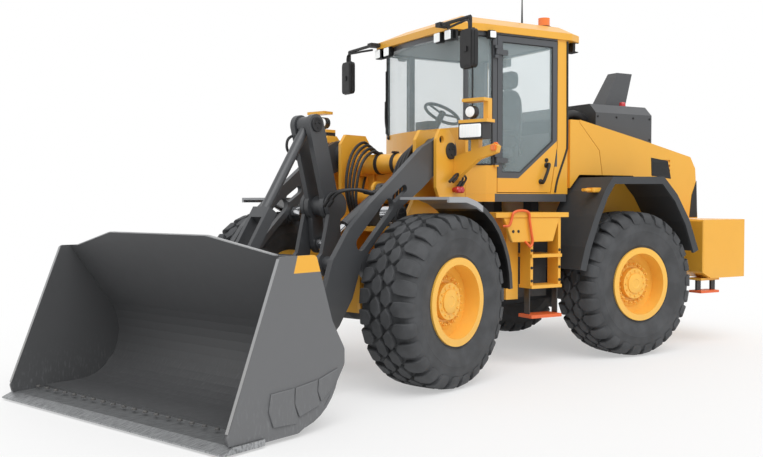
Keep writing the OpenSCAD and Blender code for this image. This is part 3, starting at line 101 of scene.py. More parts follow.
class Look:
    """One finish: a material, its main shader, and short ways to add nodes."""

    def __init__(self, name):
        self.material = bpy.data.materials.new(name)
        self.material.use_nodes = True
        self.tree = self.material.node_tree
        self.shader = self.tree.nodes["Principled BSDF"]
        self.output = self.tree.nodes["Material Output"]
        self.place = self.node("TexCoord", out="Object")

    def node(self, kind, settings=None, sockets=None, out=0):
        """Adds a node: its settings first, then the values or wires of its sockets."""
        made = self.tree.nodes.new("ShaderNode" + kind)
        for key, value in (settings or {}).items():
            setattr(made, key, value)
        for key, value in (sockets or {}).items():
            self.feed(made.inputs[key], value)
        return Wire(self, made.outputs[out])

    def feed(self, socket, value):
        """Links a wire to a socket, or sets the socket's value."""
        if isinstance(value, Wire):
            self.tree.links.new(value.socket, socket)
        elif isinstance(value, tuple) and socket.type == "RGBA":
            socket.default_value = (*value[:3], 1)
        else:
            socket.default_value = value

    def mix(self, share, first, second):
        """A colour between two, by a share of the second."""
        return self.node("Mix", {"data_type": "RGBA"}, {0: share, 6: first, 7: second}, out=2)

    def noise(self, scale, detail=3, stretch=None):
        """Cloudy noise over the surface, stretched along the axes if asked."""
        at = self.place
        if stretch:
            at = self.node("VectorMath", {"operation": "MULTIPLY"}, {0: at, 1: stretch})
        return self.node("TexNoise", None, {"Vector": at, "Scale": scale, "Detail": detail})

    def axes(self, front=False):
        """The three coordinates in one half's frame."""
        at = self.node("VectorMath", {"operation": "SUBTRACT"}, {0: self.place, 1: (PIVOT.x, PIVOT.y, 0)})
        if front:
            at = self.node("VectorRotate", {"rotation_type": "Z_AXIS"}, {"Vector": at, "Angle": -STEER})
        return [self.node("SeparateXYZ", None, {0: at}, out=k) for k in range(3)]

    def finish(self, colour, roughness, bump=None, strength=0.1, distance=0.002, **constants):
        """Feeds the main shader: what varies, the bump, and constant inputs by their names."""
        self.feed(self.shader.inputs["Base Color"], colour)
        self.feed(self.shader.inputs["Roughness"], roughness)
        if bump is not None:
            sockets = {"Height": bump, "Strength": strength, "Distance": distance}
            self.feed(self.shader.inputs["Normal"], self.node("Bump", None, sockets))
        for name, value in constants.items():
            self.feed(self.shader.inputs[name.replace("_", " ").title().replace("Ior", "IOR")], value)
        return self.material


# Finishes


def shade(colour, share):
    """A darker or lighter tone of a colour."""
    return tuple(c * share for c in colour)


YELLOW = (0.87, 0.44, 0.045)
CHARCOAL = (0.062, 0.065, 0.07)
BUCKET_GREY = (0.14, 0.143, 0.148)
LIP_GREY = (0.32, 0.325, 0.33)
STEEL = (0.42, 0.43, 0.44)
BLACK = (0.012, 0.012, 0.013)
FENDER_GREY = (0.045, 0.048, 0.052)
FRAME_GREY = (0.075, 0.08, 0.088)
PALE_GREY = (0.36, 0.37, 0.385)
ORANGE = (0.82, 0.13, 0.015)
AMBER = (0.85, 0.2, 0.02)
DUST = (0.33, 0.29, 0.23)
CHROME_GREY = (0.62, 0.63, 0.65)
RUBBER_DARK = (0.041, 0.043, 0.046)
RUBBER_PALE = (0.075, 0.078, 0.083)
CLOTH_DARK = (0.03, 0.032, 0.035)
CLOTH_PALE = RUBBER_PALE
RIM_YELLOW = (0.94, 0.52, 0.075)
HOSE_BLACK = (0.014, 0.014, 0.015)
LINING_GREY = (0.2, 0.205, 0.21)
AXLE_GREY = (0.04, 0.041, 0.043)
IRON_BLACK = (0.022, 0.022, 0.024)
ENGINE_GREY = (0.06, 0.062, 0.064)
LAMP_WHITE = (0.82, 0.84, 0.84)
CAP_RED = (0.6, 0.02, 0.03)
GLASS_TINT = (0.7, 0.86, 0.9)
GLASS_FILM = (0.74, 0.89, 0.92)


def paint_on(look, colour, roughness=0.34):
    """Sprayed paint: faint mottling, dust low down and the fine waves of the spray."""
    height = look.axes()[2]
    cloud = look.noise(1.7)
    dust = look.noise(14, 5) * height.fall(0.15, 1.1) * 0.22
    deeper = look.node("Gamma", None, {0: colour, 1: 1.12})
    tone = look.mix(cloud.rise(0.3, 0.75) * 0.25, colour, deeper)
    tone = look.mix(dust, tone, DUST)
    rough = roughness + look.noise(9) * 0.12 + dust
    return look.finish(tone, rough, look.noise(260, 2), 0.035, 0.001, coat_weight=0.25, coat_roughness=0.2)


def paint(name, colour, roughness=0.34):
    """Paint of one colour, slightly uneven."""
    look = Look(name)
    tone = look.mix(look.noise(5, 6).rise(0.35, 0.8) * 0.12, colour, shade(colour, 0.8))
    return paint_on(look, tone, roughness)


def zoned(name, base, zones, front=False, roughness=0.4):
    """Paint of more than one colour: each zone's colour and its mask from the place."""
    look = Look(name)
    place = look.axes(front)
    tone = base
    for colour, mask in zones:
        tone = look.mix(mask(*place), tone, colour)
    return paint_on(look, tone, roughness)


# Edges of the cab's colours: heights of the panes, the door's bend and slope, the first place of the aerial
PAINT_EDGE = 0.004
SIDE_PANE_LOW = 1.872
WINDSCREEN_STEP = 0.352
DOOR_PANE_LOW = 1.752
DOOR_BEND = -0.31
DOOR_SLOPE = 0.777
AERIAL_FROM = -0.88


def cab_paint():
    """Yellow cab with the dark window frames of its upper half and its dark inner side."""
    look = Look("cab_paint")
    x, y, z = look.axes()
    low = SIDE_PANE_LOW + x.rise(0.19, 0.20) * WINDSCREEN_STEP
    dark = (z - low).rise(0, PAINT_EDGE) * x.rise(-0.795, -0.791)
    within = y.size().fall(0.707, 0.71) * x.rise(-0.955, -0.95) * x.fall(0.24, 0.25)
    return paint_on(look, look.mix(dark.math("MAXIMUM", dark, within), YELLOW, FRAME_GREY))


def door_paint():
    """Yellow lower door under a dark window frame that steps up behind."""
    look = Look("door_paint")
    x, _, z = look.axes()
    behind = DOOR_BEND - x
    edge = DOOR_PANE_LOW + behind.math("MAXIMUM", behind, 0) * DOOR_SLOPE
    dark = (z - edge).rise(0, PAINT_EDGE)
    return paint_on(look, look.mix(dark, YELLOW, FRAME_GREY))


def bucket_paint():
    """Grey bucket: painted shade inside, rubbed bright along the floor, with a yellow mark on each side."""
    look = Look("bucket_paint")
    x, y, z = look.axes(front=True)
    scratch = look.noise(18, 8, (1, 9, 1)).rise(0.5, 0.75)
    inside = y.size().fall(1.258, 1.27)
    # Painted shade: the inside of the bucket is darkened towards a third of its grey, the shade that falls
    # inside it
    tone = look.mix(inside * 0.6, BUCKET_GREY, shade(BUCKET_GREY, 0.3))
    behind = (x + z * 0.31).fall(3.767, 3.772)
    mark = (1 - inside) * z.rise(1.066, 1.07) * behind
    tone = look.mix(mark, tone, YELLOW)
    wear = scratch * 0.14 * z.fall(0.05, 0.5)
    tone = look.mix(wear, tone, STEEL)
    rough = 0.42 + look.noise(8) * 0.18
    return look.finish(tone, rough, look.noise(120, 4), 0.06, 0.001)


def edge_steel():
    """Worn steel of the cutting edge, scratched along the machine."""
    look = Look("edge_steel")
    streak = look.noise(40, 8, (0.4, 5, 1))
    tone = look.mix(streak.rise(0.35, 0.7), STEEL, shade(STEEL, 0.45))
    return look.finish(tone, 0.35 + streak * 0.3, streak, 0.12, 0.001, metallic=0.85)


def rubber():
    """Tyre rubber with pale, dusty blotches."""
    look = Look("tyre_rubber")
    blotch = look.noise(6, 6)
    tone = look.mix(blotch.rise(0.3, 0.75), RUBBER_DARK, RUBBER_PALE)
    return look.finish(tone, 0.62 + blotch * 0.25, look.noise(180, 4), 0.12, 0.001)


def plastic(name, colour, roughness=0.55, grain=320):
    """Moulded plastic with a fine leather grain."""
    look = Look(name)
    tone = look.mix(look.noise(4, 4).rise(0.3, 0.8) * 0.4, colour, shade(colour, 0.75))
    return look.finish(tone, roughness + look.noise(12) * 0.12, look.noise(grain, 2), 0.1, 0.001)


def casting(name, colour):
    """Painted casting with a sandy skin."""
    look = Look(name)
    tone = look.mix(look.noise(9, 6).rise(0.4, 0.75) * 0.5, colour, shade(colour, 0.6))
    return look.finish(tone, 0.55 + look.noise(20) * 0.2, look.noise(90, 5), 0.25, 0.002)


def chrome():
    """Polished cylinder rod with a smear of oil."""
    look = Look("rod_chrome")
    rough = 0.12 + look.noise(16, 4) * 0.12
    return look.finish(CHROME_GREY, rough, look.noise(300, 2), 0.02, 0.001, metallic=1.0)


def window():
    """Pale green safety glass, seen through."""
    look = Look("window_glass")
    film = look.noise(3, 3)
    tone = look.mix(film * 0.5, GLASS_TINT, GLASS_FILM)
    look.feed(look.shader.inputs["Alpha"], 0.14 + film * 0.05)
    return look.finish(tone, 0.03 + film * 0.03, specular_ior_level=0.6)


def lens(name, colour, glow=0.0, rod_from=None):
    """Moulded lamp lens with its ribs, and black where a rod of the same node stands ahead of it."""
    look = Look(name)
    ribs = look.node("TexWave", None, {"Vector": look.place, "Scale": 30.0, "Distortion": 0.4})
    tone = look.mix(ribs * 0.3, colour, shade(colour, 0.7))
    if rod_from is not None:
        tone = look.mix(look.axes()[0].rise(rod_from, rod_from + 0.01), tone, BLACK)
    constants = {"coat_weight": 0.6}
    if glow:
        look.feed(look.shader.inputs["Emission Color"], tone)
        constants["emission_strength"] = glow
    return look.finish(tone, 0.12 + ribs * 0.1, ribs, 0.15, 0.002, **constants)


def cloth():
    """Woven seat cloth."""
    look = Look("seat_cloth")
    threads = {"Vector": look.place, "Scale": 140.0, "Distortion": 2.0}
    weave = look.node("TexWave", {"bands_direction": "X"}, threads)
    tone = look.mix(weave * 0.6 + look.noise(40) * 0.3, CLOTH_DARK, CLOTH_PALE)
    return look.finish(tone, 0.9, weave, 0.3, 0.002, sheen_weight=0.3)


PAINT = paint("yellow_paint", YELLOW)
RIM_PAINT = paint("rim_paint", RIM_YELLOW, 0.38)
GREY = paint("charcoal_paint", CHARCOAL, 0.4)
ORANGE_PAINT = paint("orange_paint", ORANGE, 0.42)
MATT_BLACK = plastic("black_plastic", BLACK, 0.5)
HOSE = plastic("hose_rubber", HOSE_BLACK, 0.45, 500)
FENDER = plastic("fender_plastic", FENDER_GREY, 0.6)
LINING = plastic("cab_lining", LINING_GREY, 0.7)
IRON = casting("axle_iron", AXLE_GREY)
DARK_IRON = casting("dark_iron", IRON_BLACK)
ENGINE = casting("engine_iron", ENGINE_GREY)
CHROME = chrome()
GLASS = window()
TYRE = rubber()
LAMP = lens("lamp_lens", LAMP_WHITE, 0.35)
BEACON = lens("orange_lens", AMBER, 0.15)
RED = lens("red_cap", CAP_RED)
BRIGHT = edge_steel()
LIP = paint("rubbed_lip", LIP_GREY, 0.45)
CLOTH = cloth()

# The two-colour nodes
FENDER_PAINT = zoned("front_fender", BLACK, [
    (PALE_GREY, lambda x, y, z: x.rise(1.17, 1.19)),
    (YELLOW, lambda x, y, z: y.size().fall(0.716, 0.719)),
], front=True)
SILL_PAINT = zoned("sill_paint", FRAME_GREY, [(YELLOW, lambda x, y, z: x.rise(-0.032, -0.028))])
LADDER_PAINT = zoned("ladder_paint", YELLOW, [
    (BLACK, lambda x, y, z: z.fall(0.726, 0.729)),
    (ORANGE, lambda x, y, z: z.fall(0.486, 0.489)),
])
STEP_PAINT = zoned("step_paint", BLACK, [
    (ORANGE, lambda x, y, z: z.fall(0.586, 0.589)),
    (YELLOW, lambda x, y, z: z.rise(0.692, 0.695)),
])
TANK_PAINT = zoned("tank_paint", YELLOW, [
    (BLACK, lambda x, y, z: x.fall(-0.154, -0.15) * z.fall(1.38, 1.385)),
])
HEADLAMP_PAINT = zoned("headlamp_paint", YELLOW, [
    (BLACK, lambda x, y, z: z.rise(2.073, 2.076) * z.fall(2.216, 2.22) * y.size().rise(0.79, 0.794)),
    (BLACK, lambda x, y, z: z.rise(2.25, 2.256) * z.fall(2.39, 2.4) * y.size().fall(0.96, 0.97)),
], front=True)

# The finish of each node of the frame
NODE_LOOKS = {
    "rear_chassis": DARK_IRON, "rear_axle": IRON, "front_axle": IRON, "gearbox": ENGINE,
    "engine_block": ENGINE, "counterweight": PAINT, "tow_hitch": DARK_IRON, "rear_steps": STEP_PAINT,
    "rear_cowl": PAINT, "rear_fenders": FENDER, "exhaust_box": GREY, "side_tanks": TANK_PAINT,
    "ladder": LADDER_PAINT, "cab_floor": SILL_PAINT, "cab_shell": cab_paint(), "cab_roof": PAINT,
    "cab_glass": GLASS, "seat": CLOTH, "console": MATT_BLACK, "roof_lamps": MATT_BLACK,
    "mirrors": MATT_BLACK, "beacon": lens("beacon_lens", AMBER, 0.15, AERIAL_FROM),
    "cab_door": door_paint(), "door_glass": GLASS, "engine_hood": PAINT, "front_frame": PAINT,
    "tower_left": PAINT, "tower_right": PAINT, "front_fenders": FENDER_PAINT,
    "headlamps": HEADLAMP_PAINT, "boom": GREY, "tilt_lever": GREY, "tilt_link": GREY, "coupler": GREY,
    "bucket": bucket_paint(), "cutting_edge": BRIGHT, "tilt_barrel": GREY, "tilt_rod": CHROME,
}
for side in SIDES:
    NODE_LOOKS["lift_barrel_" + side] = GREY
    NODE_LOOKS["lift_rod_" + side] = CHROME
    NODE_LOOKS["steer_barrel_" + side] = GREY
    NODE_LOOKS["steer_rod_" + side] = CHROME
    for end in ("front", "rear"):
        NODE_LOOKS["wheel_%s_%s" % (end, side)] = RIM_PAINT
        NODE_LOOKS["tyre_%s_%s" % (end, side)] = TYRE
for name, node in frame["nodes"].items():
    node.data.materials.clear()
    node.data.materials.append(NODE_LOOKS[name])


# Mesh making


def smooth_path(points, steps=8):
    """A curve through the points."""
    points = [Vector(p) for p in points]
    if len(points) == 2:
        return points
    ends = [2 * points[0] - points[1], *points, 2 * points[-1] - points[-2]]
    path = []
    for a, b, c, d in zip(ends, ends[1:], ends[2:], ends[3:]):
        for k in range(steps):
            t = k / steps
            bend = (2 * a - 5 * b + 4 * c - d) * t**2 + (3 * b - a - 3 * c + d) * t**3
            path.append(b + ((c - a) * t + bend) / 2)
    return [*path, points[-1]]


def add(name, data):
    """Puts an object in the scene."""
    made = bpy.data.objects.new(name, data)
    bpy.context.scene.collection.objects.link(made)
    return made


def span(sign, stretch):
    """Low and high end of a stretch across the machine, on one of its sides."""
    return sorted(sign * y for y in stretch)


class Shape:
    """A mesh that grows piece by piece in the frame of one half."""

    def __init__(self, place):
        self.bm = bmesh.new()
        self.place = place

    def skin(self, rings, caps=True):
        """Joins closed rings of points, one after the other, into a skin."""
        made = [[self.bm.verts.new(self.place @ Vector(p)) for p in ring] for ring in rings]
        count = len(made[0])
        for a, b in zip(made, made[1:]):
            for k in range(count):
                m = (k + 1) % count
                self.bm.faces.new((a[k], a[m], b[m], b[k]))
        if caps:
            self.bm.faces.new(made[0][::-1])
            self.bm.faces.new(made[-1])

    def block(self, low, high, bevel):
        """A box with rounded edges."""
        low, high = Vector(low), Vector(high)
        size = high - low
        at = self.place @ Matrix.Translation((low + high) / 2) @ Matrix.Diagonal((*size, 1))
        verts = bmesh.ops.create_cube(self.bm, size=1, matrix=at)["verts"]
        if bevel:
            edges = list({e for v in verts for e in v.link_edges})
            offset = min(bevel, min(size) * 0.4)
            bmesh.ops.bevel(self.bm, geom=edges, offset=offset, segments=2, affect="EDGES")

    def slab(self, along, middle, half, up, bevel):
        """A box from its ends along and up, and its middle and half width across the machine."""
        low, high = (along[0], middle - half, up[0]), (along[1], middle + half, up[1])
        self.block(low, high, bevel)

    def strip(self, corners, y, radius):
        """A rubber strip round the corners of a window, of X and Z."""
        for (x0, z0), (x1, z1) in zip(corners, corners[1:] + corners[:1]):
            self.tube([(x0, y, z0), (x1, y, z1)], radius, 8)

    def tube(self, points, radius, sides=10, steps=8):
        """A round bar or hose through the points."""
        path = smooth_path(points, steps)
        rings = []
        side = None
        for k, at in enumerate(path):
            ahead = (path[min(k + 1, len(path) - 1)] - path[max(k - 1, 0)]).normalized()
            if side is None:
                side = ahead.orthogonal().normalized()
            side = (side - ahead * side.dot(ahead)).normalized()
            up = ahead.cross(side)
            turns = [2 * math.pi * m / sides for m in range(sides)]
            rings.append([at + radius * (side * math.cos(t) + up * math.sin(t)) for t in turns])
        self.skin(rings)

    def lathe(self, at, way, profile, steps=32):
        """Turns a profile of radius and height about an axis."""
        turn = Matrix.Translation(at) @ Vector(way).to_track_quat("Z", "Y").to_matrix().to_4x4()
        rings = []
        for r, h in profile:
            turns = [2 * math.pi * m / steps for m in range(steps)]
            rings.append([turn @ Vector((r * math.cos(t), r * math.sin(t), h)) for t in turns])
        self.skin(rings)

    def plate(self, outline, y0, y1, bevel=0.003):
        """An upright plate along the machine with an outline of X and Z."""
        before = set(self.bm.edges)
        self.skin([[(x, y, z) for x, z in outline] for y in (y0, y1)])
        if bevel:
            fresh = [e for e in self.bm.edges if e not in before]
            bmesh.ops.bevel(self.bm, geom=fresh, offset=bevel, segments=1, affect="EDGES")

    def bolt(self, at, way, radius, height):
        """A hexagon head on its washer."""
        washer = [(radius * 1.25, -0.002), (radius * 1.25, 0.003), (radius * 1.15, 0.004)]
        head = [(radius, 0.003), (radius, height * 0.85), (radius * 0.85, height)]
        self.lathe(at, way, washer, 16)
        self.lathe(at, way, head, 6)

    def done(self, name, body, material, slot=None, replaces=(), angle=35):
        """Ends the mesh as one piece that moves with a body."""
        bmesh.ops.recalc_face_normals(self.bm, faces=self.bm.faces)
        mesh = bpy.data.meshes.new(name)
        self.bm.to_mesh(mesh)
        self.bm.free()
        for polygon in mesh.polygons:
            polygon.use_smooth = True
        mesh.set_sharp_from_angle(angle=math.radians(angle))
        mesh.materials.append(material)
        piece = add(name, mesh)
        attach(piece, body)
        if replaces:
            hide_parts(*replaces)
        return piece


# Tyres and wheels
TYRE_R = 0.718
TYRE_HALF = 0.26
BEAD_R = 0.32
BEAD_HALF = 0.2
AXLE_X = 1.5
AXLE_Z = TYRE_R
TRACK_HALF = 0.965
# Carcass from bead to crown: radius and distance from the middle
CARCASS = [
    (0.322, 0.208), (0.352, 0.219), (0.366, 0.2195), (0.378, 0.222), (0.384, 0.229), (0.392, 0.229),
    (0.40, 0.232), (0.45, 0.2475), (0.50, 0.256), (0.515, 0.2585), (0.522, 0.2605), (0.528, 0.2585),
    (0.57, 0.259), (0.61, 0.253), (0.645, 0.236), (0.668, 0.205), (0.678, 0.16), (0.682, 0.08),
]
TREAD_POINTS = 7
CROWN_R = CARCASS[-1][0]
# Tread blocks: how many round the tyre, how deep they are rooted, their chamfer and slant
LUGS = 26
LUG_ROOT = 0.012
LUG_CHAMFER = 0.006
LUG_SLANT_SHARE = 0.10
PITCH = 2 * math.pi / LUGS
# Shoulder blocks across the tyre: distance from the middle, radius of the top, share of the pitch
SHOULDER = [
    (0.102, 0.715, 0.10), (0.128, 0.714, 0.62), (0.165, 0.7115, 0.70), (0.205, 0.704, 0.72),
    (0.232, 0.688, 0.72), (0.250, 0.660, 0.70), (0.2595, 0.628, 0.64), (0.2598, 0.612, 0.5),
]
# Leaf blocks of the two middle rows: shares of their length round the tyre, distances from the row's middle
LEAF = [(-0.50, 0.004), (-0.20, 0.043), (0.24, 0.048), (0.50, 0.004), (0.22, -0.046), (-0.24, -0.046)]
LEAF_LENGTH = PITCH * 0.97
LEAF_ROW = 0.050
# Rings of a leaf block from its root to its top: radius, and spread of the outline
LEAF_RINGS = [
    (CROWN_R - 0.01, 1.06), (TYRE_R - 0.009, 1.0), (TYRE_R - 0.003, 0.97), (TYRE_R - 0.0005, 0.88),
]
TREAD_CURVE = 0.1
# Rim and hub
RIM_HALF = 0.22
RIM_FLANGE = 0.018
DISC_SET = 0.15
HUB_COVER = 0.06
NUTS = 20
NUT_CIRCLE = 0.192
NUT_SEAT = 0.009
COVER_BOLTS = 12
COVER_CIRCLE = 0.122
VALVE_TURN = 0.3


def on_wheel(angle, across, radius):
    """A place on a wheel, from its angle round the axle."""
    return (radius * math.sin(angle), across, radius * math.cos(angle))


def carcass_radius(across):
    """Radius of the carcass under the tread."""
    tread = CARCASS[-TREAD_POINTS:]
    for (r0, y0), (r1, y1) in zip(tread, tread[1:]):
        if y1 <= across <= y0:
            return r0 + (r1 - r0) * (y0 - across) / (y0 - y1)
    return CROWN_R


def shoulder_block(shape, start, side):
    """One block that wraps from the tread over the shoulder."""
    rings = []
    for across, top, length in SHOULDER:
        low, edge = min(carcass_radius(across), top) - LUG_ROOT, top - LUG_CHAMFER
        half = length * PITCH / 2
        slant = LUG_SLANT_SHARE * PITCH * (across - SHOULDER[0][0]) / TYRE_HALF
        flat = half - min(LUG_CHAMFER / TYRE_R, half / 2)
        corners = [(-half, low), (-half, edge), (-flat, top), (flat, top), (half, edge), (half, low)]
        rings.append([on_wheel(start + slant + a, side * across, r) for a, r in corners])
    shape.skin(rings)


def leaf_block(shape, start, side):
    """One pointed block of a middle row, curved as the tread is."""
    rings = []
    for radius, spread in LEAF_RINGS:
        ring = []
        for share, y in LEAF:
            across = side * LEAF_ROW + y * spread
            angle = start + share * spread * LEAF_LENGTH
            ring.append(on_wheel(angle, across, radius - TREAD_CURVE * across**2))
        rings.append(ring)
    shape.skin(rings)


def tyre(shape):
    """Carcass with two rows of leaf blocks between the shoulder blocks."""
    steps = LUGS * 4
    mirrored = [(r, -y) for r, y in CARCASS[::-1]]
    profile = [*CARCASS, *mirrored, (BEAD_R, -BEAD_HALF), (BEAD_R, BEAD_HALF)]
    rings = [[on_wheel(2 * math.pi * k / steps, y, r) for r, y in profile] for k in range(steps)]
    shape.skin([*rings, rings[0]], caps=False)
    for k in range(LUGS):
        for side in SIDES.values():
            start = k * PITCH + (PITCH / 2 if side < 0 else 0)
            leaf_block(shape, start, side)
            shoulder_block(shape, start + PITCH / 2, side)


def wheel_fittings(shape):
    """Wheel nuts on their ring, the hub cover's bolts and ring, and the valve."""
    disc = RIM_HALF + RIM_FLANGE - DISC_SET
    cover = disc + HUB_COVER
    nut_ring = [(0.232, -0.004), (0.232, 0.006), (0.226, 0.01), (0.156, 0.01), (0.153, 0.004)]
    washer = [(0.02, 0.0), (0.02, 0.004), (0.017, 0.006)]
    nut = [(0.0145, 0.004), (0.0145, 0.024), (0.009, 0.028), (0.009, 0.04), (0.006, 0.042)]
    cover_ring = [(0.098, -0.004), (0.098, 0.012), (0.09, 0.016), (0.045, 0.018), (0.04, 0.014)]
    valve = [(0.01, 0.285), (0.05, 0.288), (0.09, 0.282)]
    shape.lathe((0, disc, 0), ACROSS, nut_ring, 48)
    for k in range(NUTS):
        at = on_wheel(2 * math.pi * (k + 0.5) / NUTS, disc + NUT_SEAT, NUT_CIRCLE)
        shape.lathe(at, ACROSS, washer, 12)
        shape.lathe(at, ACROSS, nut, 6)
    for k in range(COVER_BOLTS):
        at = on_wheel(2 * math.pi * k / COVER_BOLTS, cover, COVER_CIRCLE)
        shape.bolt(at, ACROSS, 0.009, 0.01)
    shape.lathe((0, cover, 0), ACROSS, cover_ring, 40)
    shape.tube([on_wheel(VALVE_TURN, disc + reach, radius) for reach, radius in valve], 0.005)


for end, half in (("front", FRONT), ("rear", REAR)):
    for side, sign in SIDES.items():
        name = "%s_%s" % (end, side)
        hub = half @ Matrix.Translation((AXLE_X if end == "front" else -AXLE_X, sign * TRACK_HALF, AXLE_Z))
        if sign < 0:
            hub = hub @ Matrix.Rotation(math.pi, 4, "Z")
        shape = Shape(hub)
        tyre(shape)
        shape.done("treaded_tyre_" + name, "wheel_" + name, TYRE, "rubber", ["tyre_" + name], angle=28)
        shape = Shape(hub)
        wheel_fittings(shape)
        shape.done("wheel_nuts_" + name, "wheel_" + name, RIM_PAINT, "yellow_paint")


# Cab fittings
CAB_SIDE = 0.76
DOOR_FACE = 0.762
GLASS_TOP = 3.074
ROOF_TOP = 3.301
SEAL_R = 0.008
MIRROR_Y = 1.12
ROOF_LAMP_Z = 3.072
HEADLAMP_Y = 0.921
ROUND_LAMP_Y = 0.89
INDICATOR_Y = 1.118


def wiper():
    """Wiper arm and blade up the right edge of the windscreen."""
    arm = [(0.33, -0.60, 2.205), (0.352, -0.625, 2.35), (0.345, -0.64, 2.58)]
    blade_y, blade_z = -0.642, (2.24, 2.90)
    shape = Shape(REAR)
    shape.tube(arm, 0.009)
    shape.slab((0.325, 0.34), blade_y, 0.01, blade_z, 0.004)
    shape.slab((0.319, 0.33), blade_y, 0.004, blade_z, 0.002)
    shape.lathe((0.30, -0.60, 2.20), AHEAD, [(0.022, 0), (0.022, 0.035), (0.014, 0.045)], 20)
    shape.done("wiper", "rear", MATT_BLACK, "black_plastic")


def door_handle():
    """Grab handle on its two feet, with the lock above it."""
    top, low = Vector((-0.655, DOOR_FACE, 1.885)), Vector((-0.585, DOOR_FACE, 1.725))
    out, sunk, lock_up = Vector((0, 0.045, 0)), Vector((0, -0.004, 0)), Vector((0, 0, 0.05))
    foot = [(0.026, 0), (0.026, 0.01), (0.018, 0.016)]
    lock = [(0.02, 0), (0.02, 0.012), (0.013, 0.014), (0.004, 0.011)]
    shape = Shape(REAR)
    shape.tube([top, top + out, low + out, low], 0.015, 12, 6)
    for end in (top, low):
        shape.lathe(end + sunk, ACROSS, foot, 20)
    shape.lathe(top + sunk + lock_up, ACROSS, lock, 20)
    shape.done("door_handle", "door", MATT_BLACK, "black_plastic")


def door_seal():
    """Rubber strip round the door glass."""
    bend_x, step_z = -0.335, 2.125
    low, high = [Vector(p) - REAR.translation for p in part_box("door_glass")]
    shape = Shape(REAR)
    shape.strip(
        [(high.x, low.z), (high.x, high.z), (low.x, high.z), (low.x, step_z), (bend_x, low.z)],
        DOOR_FACE - 0.01, SEAL_R,
    )
    shape.done("door_seal", "door", MATT_BLACK, "black_plastic")


def cab_strips():
    """Rubber strip down each rear corner of the cab, and the seals of the panes ahead of the doors."""
    corner = [(-0.915, 3.11), (-0.918, 2.60), (-0.92, 2.12), (-0.905, 2.02), (-0.80, 1.76), (-0.765, 1.62)]
    pane = [(0.002, 1.878), (0.002, GLASS_TOP), (0.228, GLASS_TOP), (0.228, 1.878)]
    shape = Shape(REAR)
    for sign in SIDES.values():
        shape.tube([(x, sign * (CAB_SIDE + 0.002), z) for x, z in corner], 0.011, 8)
        shape.strip(pane, sign * (CAB_SIDE - 0.004), SEAL_R)
    shape.done("cab_seals", "rear", MATT_BLACK, "black_plastic")


def mirror_fittings():
    """Mirror glass, the cowls round it and the lower rod of each arm."""
    glass, arms = Shape(REAR), Shape(REAR)
    for sign in SIDES.values():
        y = sign * MIRROR_Y
        rod = [(0.47, sign * 0.70, 3.12), (0.51, sign * 0.95, 3.125), (0.535, y, 3.11), (0.535, y, 2.95)]
        glass.slab((0.494, 0.5005), y, 0.08, (2.72, 3.02), 0.003)
        arms.slab((0.498, 0.564), y, 0.0985, (2.697, 3.043), 0.024)
        arms.tube(rod, 0.011)
        arms.slab((0.50, 0.575), y, 0.03, (2.83, 2.90), 0.012)
    glass.done("mirror_glass", "rear", CHROME, "rod_chrome")
    arms.done("mirror_arms", "rear", MATT_BLACK, "black_plastic")


def work_lamp(glass, case, x, y, way):
    """A square work lamp in its case under the roof, facing a way along the machine."""
    z = ROOF_LAMP_Z
    case.slab((x - 0.03, x + 0.03), y, 0.055, (z - 0.05, z + 0.05), 0.012)
    glass.slab(sorted((x + way * 0.031, x + way * 0.043)), y, 0.047, (z - 0.042, z + 0.042), 0.006)


def roof_lamp_lenses():
    """Work lamps at the front and rear of the roof, and the lamps at its sides."""
    glass, case = Shape(REAR), Shape(REAR)
    for sign in SIDES.values():
        for y in (0.47, 0.65):
            work_lamp(glass, case, 0.40, sign * y, 1)
            work_lamp(glass, case, -1.09, sign * y, -1)
        glass.slab((-1.115, -1.065), sign * 0.709, 0.005, (3.032, 3.112), 0.005)
        case.slab((0.0, 0.09), sign * 0.795, 0.03, (3.045, 3.125), 0.012)
        glass.slab((0.012, 0.078), sign * 0.828, 0.006, (3.055, 3.115), 0.005)
    glass.done("work_lamp_glass", "rear", LAMP, "lamp")
    case.done("work_lamp_cases", "rear", MATT_BLACK, "black_plastic")


def headlamp_glass():
    """Square headlamps, the round lamps above them and the indicators at the arms' ends."""
    round_lens = [(0.048, 0), (0.046, 0.008), (0.03, 0.014), (0.004, 0.016)]
    glass, orange = Shape(FRONT), Shape(FRONT)
    for sign in SIDES.values():
        glass.slab((0.926, 0.942), sign * HEADLAMP_Y, 0.112, (2.09, 2.205), 0.012)
        glass.lathe((0.888, sign * ROUND_LAMP_Y, 2.317), AHEAD, round_lens, 32)
        orange.slab((0.858, 0.876), sign * INDICATOR_Y, 0.03, (1.972, 2.022), 0.008)
        orange.slab((0.81, 0.85), sign * INDICATOR_Y, 0.02, (2.02, 2.045), 0.008)
    glass.done("headlamp_glass", "front", LAMP, "lamp")
    orange.done("indicators", "front", BEACON, "orange_lens")


# Seat cushions: middle and half sizes
CUSHIONS = {
    "seat_cushion": ((-0.48, 0, 2.035), (0.25, 0.255, 0.065)),
    "seat_back": ((-0.735, 0, 2.38), (0.075, 0.25, 0.32)),
    "head_rest": ((-0.775, 0, 2.80), (0.05, 0.145, 0.095)),
}
CROWN_POWER = 3.2
CORNER_POWER = 3.4
END_SHARE = 0.05
SEAM_SHARE = 0.05
SEAM_WIDTH_SHARE = 0.12
ARM_REST_Y = 0.30
BELLOWS_FOLD = 0.055


